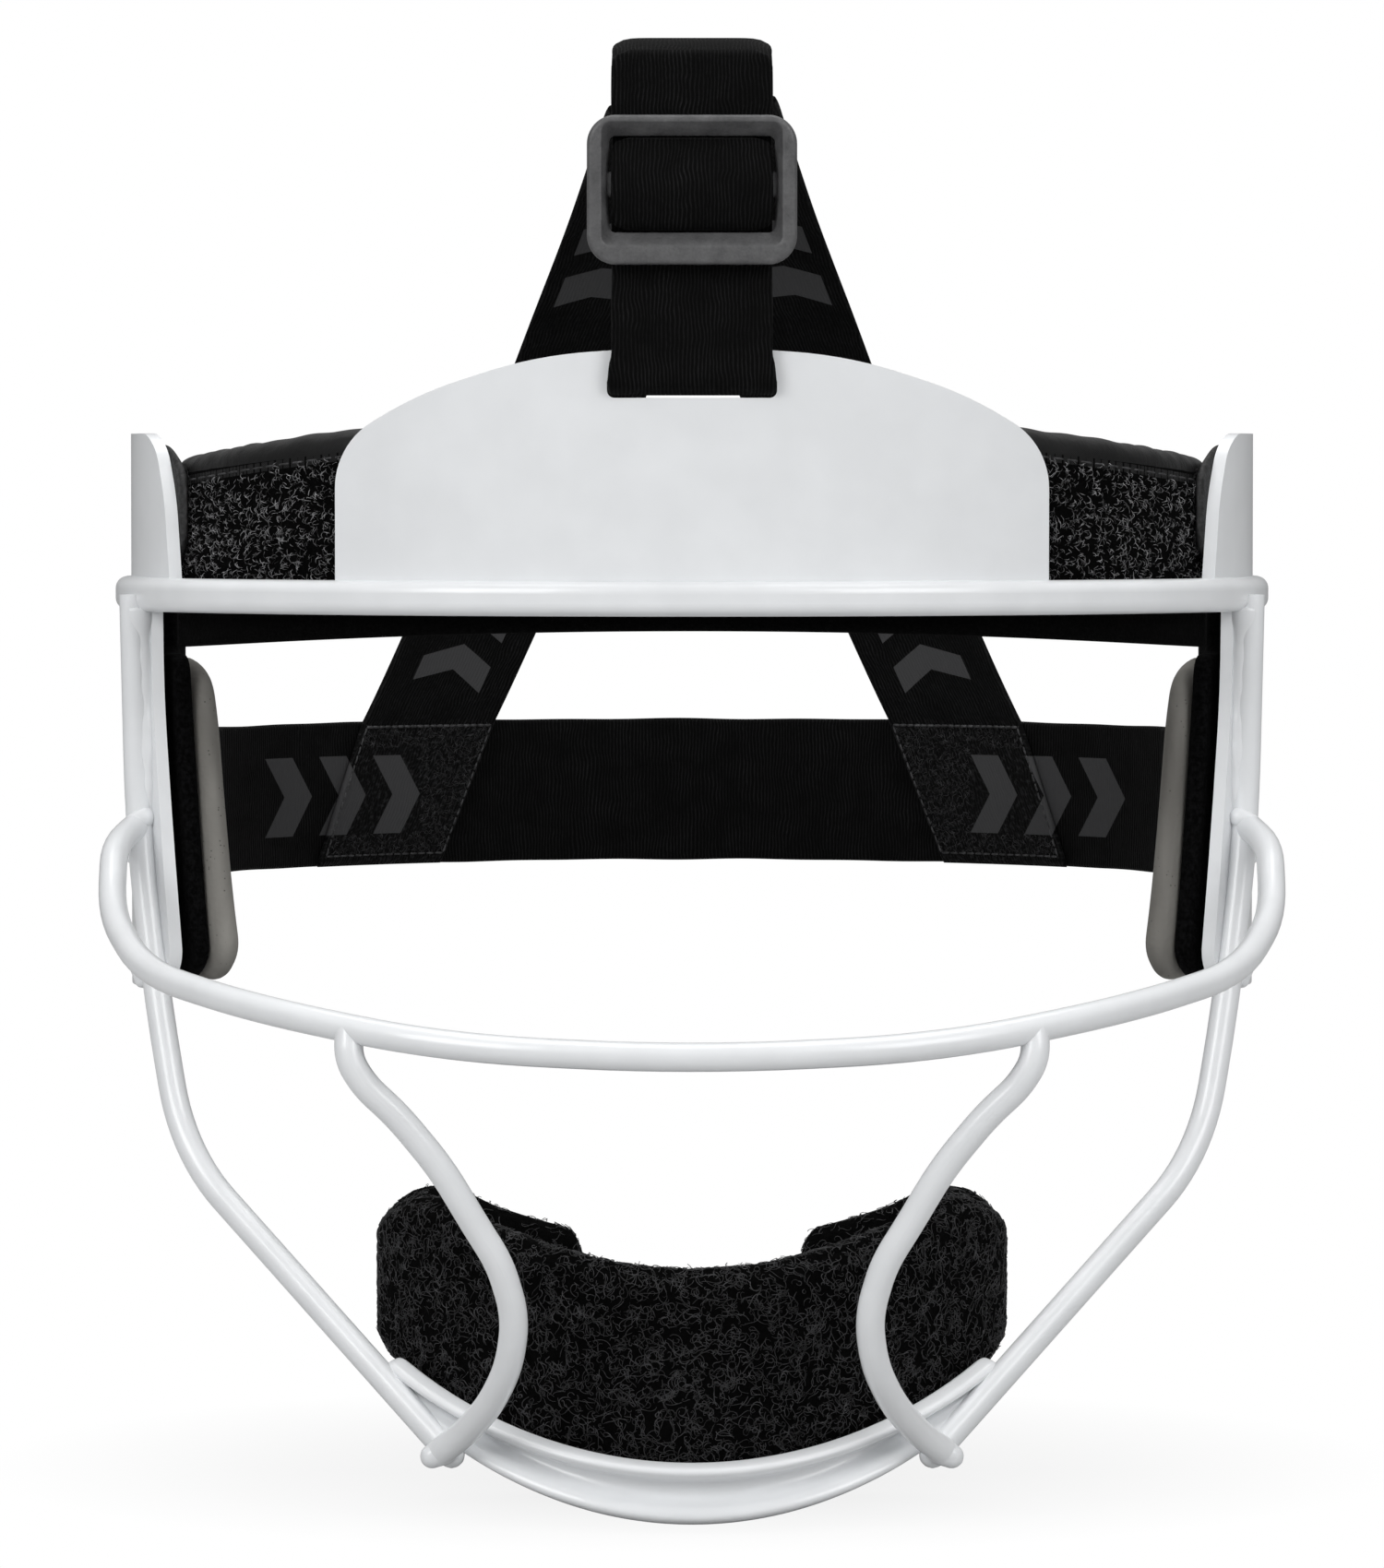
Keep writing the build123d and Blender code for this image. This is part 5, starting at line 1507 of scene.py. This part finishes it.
def terryLoops(cupGrid):
    # Curled loops over the whole cup but its floor: denser on the front
    s = terryPlace
    wrapped = np.concatenate([cupGrid, cupGrid[:, :1]], 1)
    normals = gridNormals(wrapped)
    outside = wrapped[s["outside"]]
    if np.sum(normals[s["outside"]] * (outside - wrapped.reshape(-1, 3).mean(0))) < 0:
        normals = -normals
    front = outside[..., 1] < s["frontEndY"]
    for name, side in reversed(sides):
        keep = front & (outside[..., 0] * side >= 0 if side > 0 else outside[..., 0] < 0)
        facing = normals[s["outside"]]
        tufts(f"terry_loops_front_{name}", outside, facing, terryForm, terryLoopHighlight, "chin_pad", keep)
    rest = wrapped[s["walls"]]
    ring = np.arange(s["walls"].start, s["walls"].stop)[:, None]
    keep = (rest[..., 1] >= s["frontEndY"]) | (ring > s["insideRing"])
    tufts("terry_loops_rest", rest, normals[s["walls"]], restForm, terryLoopHighlight, "chin_pad", keep)


terryLoops(makeCup())
print("chin pad made")

# Coated steel and its welds

weldForm = {"voxel": 0.28 * mm, "soften": 0.6, "passes": 7}
seamForm = {
    "step": 0.5 * mm,
    "around": 20,
    "swell": 0.07,
    "swellRuns": (1.15 * mm, 3.7 * mm),
    "path": [(91.3, 39.4, -2.2), (90.7, 39.3, -10), (90.2, 39.2, -20), (89.7, 39.0, -30), (89.6, 38.6, -37)],
    "radii": [2.9, 2.35, 2.1, 2.0, 2.2, 2.0, 1.2],
}


def ballRow(side, start, step, count):
    # Balls in a row: x, y, z and radius in mm, each changed by its step; side turns x to its side
    row = np.array(start) + np.arange(count)[:, None] * np.array(step)
    return (row * np.array([side, 1, 1, 1])).tolist()


def weld(name, spots):
    # Lumps of weld metal under the coat: overlapping balls joined into one skin
    parts = []
    for *place, radius in spots:
        place = [part * mm for part in place]
        bpy.ops.mesh.primitive_ico_sphere_add(subdivisions=2, radius=radius * mm, location=place)
        parts.append(bpy.context.object)
    made = parts[0]
    chosen = {"active_object": made, "selected_editable_objects": parts, "selected_objects": parts}
    with bpy.context.temp_override(**chosen):
        bpy.ops.object.join()
    made.name = made.data.name = name
    bpy.context.view_layer.objects.active = made
    bpy.ops.object.select_all(action="DESELECT")
    made.select_set(True)
    bpy.ops.object.transform_apply(location=True, rotation=True, scale=True)
    join = made.modifiers.new("skin", "REMESH")
    join.mode, join.voxel_size, join.use_smooth_shade = "VOXEL", weldForm["voxel"], True
    soften = made.modifiers.new("soften", "SMOOTH")
    soften.factor, soften.iterations = weldForm["soften"], weldForm["passes"]
    bpy.ops.object.modifier_apply(modifier=join.name)
    bpy.ops.object.modifier_apply(modifier=soften.name)
    made.data.materials.clear()
    made.data.materials.append(steelLook)
    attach(made, "frame")


def seam(name, side):
    # A weld bead drawn along a path, smoothed over by the coat: a tube that swells and thins
    s = seamForm
    line, run = smoothLine(np.array(s["path"], float) * np.array([side, 1, 1]) * mm, s["step"])
    share = np.linspace(0, 1, len(s["radii"]))
    short, long = s["swellRuns"]
    radius = np.interp(run / run[-1], share, s["radii"]) * mm
    radius *= 1 + s["swell"] * np.sin(run / short) * np.sin(run / long + 0.5)
    makePiece(name, tubes(line[None], radius[None], s["around"]), steelLook, "frame")


def steelwork():
    # The coat on the CAD bars and plates, and the welds between them
    paired = ("side_bar", "mouth_bar", "temple_plate", "cheek_plate")
    single = ["brow_bar", "cheek_bar", "forehead_plate"]
    for name in single + [f"{name}_{side}" for name in paired for side, _ in sides]:
        looks = nodes[name].data.materials
        looks.clear()
        looks.append(steelLook)
    for name, side in sides:
        # Long bead that joins the side bar to the cheek plate's front edge
        seam(f"weld_side_bar_{name}", side)
        loopTop = ballRow(side, (90.2, 37.4, -36.7, 1.9), (0.6, -0.3, -0.2, -0.15), 4)
        loopLow = ballRow(side, (90.6, 37.4, -40.6, 1.7), (0.62, 0, -1.0, -0.3), 4)
        weld(f"weld_cheek_bar_{name}", loopTop + loopLow)
        weld(f"weld_cheek_plate_{name}", ballRow(side, (92.0, 41.6, -59.6, 1.8), (-0.3, 0, -1.05, -0.09), 5))
        # Rounded end of the mouth bar over the jaw bar's end, and the lump that joins both to the chin plate
        mouth = ballRow(side, (39.4, -17.35, -135.0, 2.4), (0.6, 0, -0.3, -0.12), 4)
        jaw = ballRow(side, (39.6, -14.9, -135.2, 2.25), (-0.7, -0.2, -0.35, 0), 3)
        weld(f"weld_jaw_{name}", mouth + jaw)


steelwork()
print("welds made")

# Room, lights and camera

studio = {
    "floorZ": -147.2 * mm,
    "floorY": 2.0,
    "floorSize": 12,
    "shadowY": 0.07,
    "shadowRadius": 0.12,
    "shadowDepth": 0.82,
    "floorTone": 0.5,
    "cameraY": -1.35,
    "cameraZ": 0.0204,
    "focal": 9140,
    "photoHeight": 1700,
    "sensor": 36,
    "pitchPixels": 340,
    "keyPower": 10.0,
    "fillPower": 0.4,
    "topPower": 6.5,
    "worldStrength": 0.42,
    "roomLow": "#36383c",
}


def lamp(name, place, target, width, height, power):
    # A rectangular area light at place, turned to the target
    data = bpy.data.lights.new(name, "AREA")
    data.shape, data.size, data.size_y, data.energy = "RECTANGLE", width, height, power
    made = bpy.data.objects.new(name, data)
    made.location = place
    made.rotation_euler = (Vector(target) - Vector(place)).to_track_quat("-Z", "Y").to_euler()
    bpy.context.scene.collection.objects.link(made)


def makeRoom():
    # A pale room that lights the guard dimly from below and is plain white to the camera
    world = bpy.data.worlds.new("soft white room")
    bpy.context.scene.world = world
    world.use_nodes = True
    world.node_tree.nodes.clear()
    add = partial(addNode, world.node_tree)
    up = add("SeparateXYZ", add("TexCoord").outputs["Generated"]).outputs["Z"]
    height = add("MapRange", up, -0.6, 0.7, 0.0, 1.0)
    room = add("Mix", height, colour(studio["roomLow"]), colour("#ffffff"), data_type="RGBA")
    dim = add("Background", room, studio["worldStrength"])
    white = add("Background", (1, 1, 1, 1), 1.0)
    add("OutputWorld", add("MixShader", add("LightPath").outputs["Is Camera Ray"], dim, white))


def makeFloor():
    # Past the shadow the paper fades to the white of the background
    s = studio
    made, add = newMaterial("white paper floor")
    tone = (s["floorTone"], s["floorTone"], s["floorTone"], 1)
    paper = add("BsdfPrincipled", tone, **{"Roughness": 0.9, "Specular IOR Level": 0.1})
    middle = (0, s["shadowY"] - s["floorY"], 0)
    place = add("VectorMath", add("TexCoord").outputs["Object"], middle, operation="SUBTRACT")
    far = add("VectorMath", place, operation="LENGTH")
    fade = add("MapRange", far, s["shadowRadius"] * 0.3, s["shadowRadius"], s["shadowDepth"], 1.0)
    seen = add("Math", fade, add("LightPath").outputs["Is Camera Ray"], operation="MULTIPLY")
    add("OutputMaterial", add("MixShader", seen, paper, add("Emission", (1, 1, 1, 1), 1.0)))
    bpy.ops.mesh.primitive_plane_add(size=s["floorSize"], location=(0, s["floorY"], s["floorZ"]))
    floor = bpy.context.object
    floor.name = "paper_floor"
    floor.data.materials.append(made)


def makeCamera():
    # The photo's camera: a long lens just above the brow, pitched down
    s = studio
    data = bpy.data.cameras.new("photo_camera")
    data.sensor_fit = "VERTICAL"
    data.sensor_height = s["sensor"]
    data.lens = s["sensor"] * s["focal"] / s["photoHeight"]
    data.clip_start = 0.05
    camera = bpy.data.objects.new("photo_camera", data)
    camera.location = (0, s["cameraY"], s["cameraZ"])
    camera.rotation_euler = (radians(90) - atan(s["pitchPixels"] / s["focal"]), 0, 0)
    bpy.context.scene.collection.objects.link(camera)
    bpy.context.scene.camera = camera


makeRoom()
face = (0, 0.05, -0.03)
lamp("key_left", (-0.9, -1.1, 0.75), face, 0.7, 0.9, studio["keyPower"])
lamp("key_right", (0.9, -1.1, 0.75), face, 0.7, 0.9, studio["keyPower"] * 0.85)
lamp("front_low", (0.0, -1.5, -0.05), (0, 0, -0.03), 0.9, 0.5, studio["fillPower"])
lamp("top", (0.0, 0.2, 1.1), (0, 0.05, 0), 0.9, 0.9, studio["topPower"])
makeFloor()
makeCamera()
bpy.context.scene.view_settings.view_transform = "Standard"
print("scene ready")
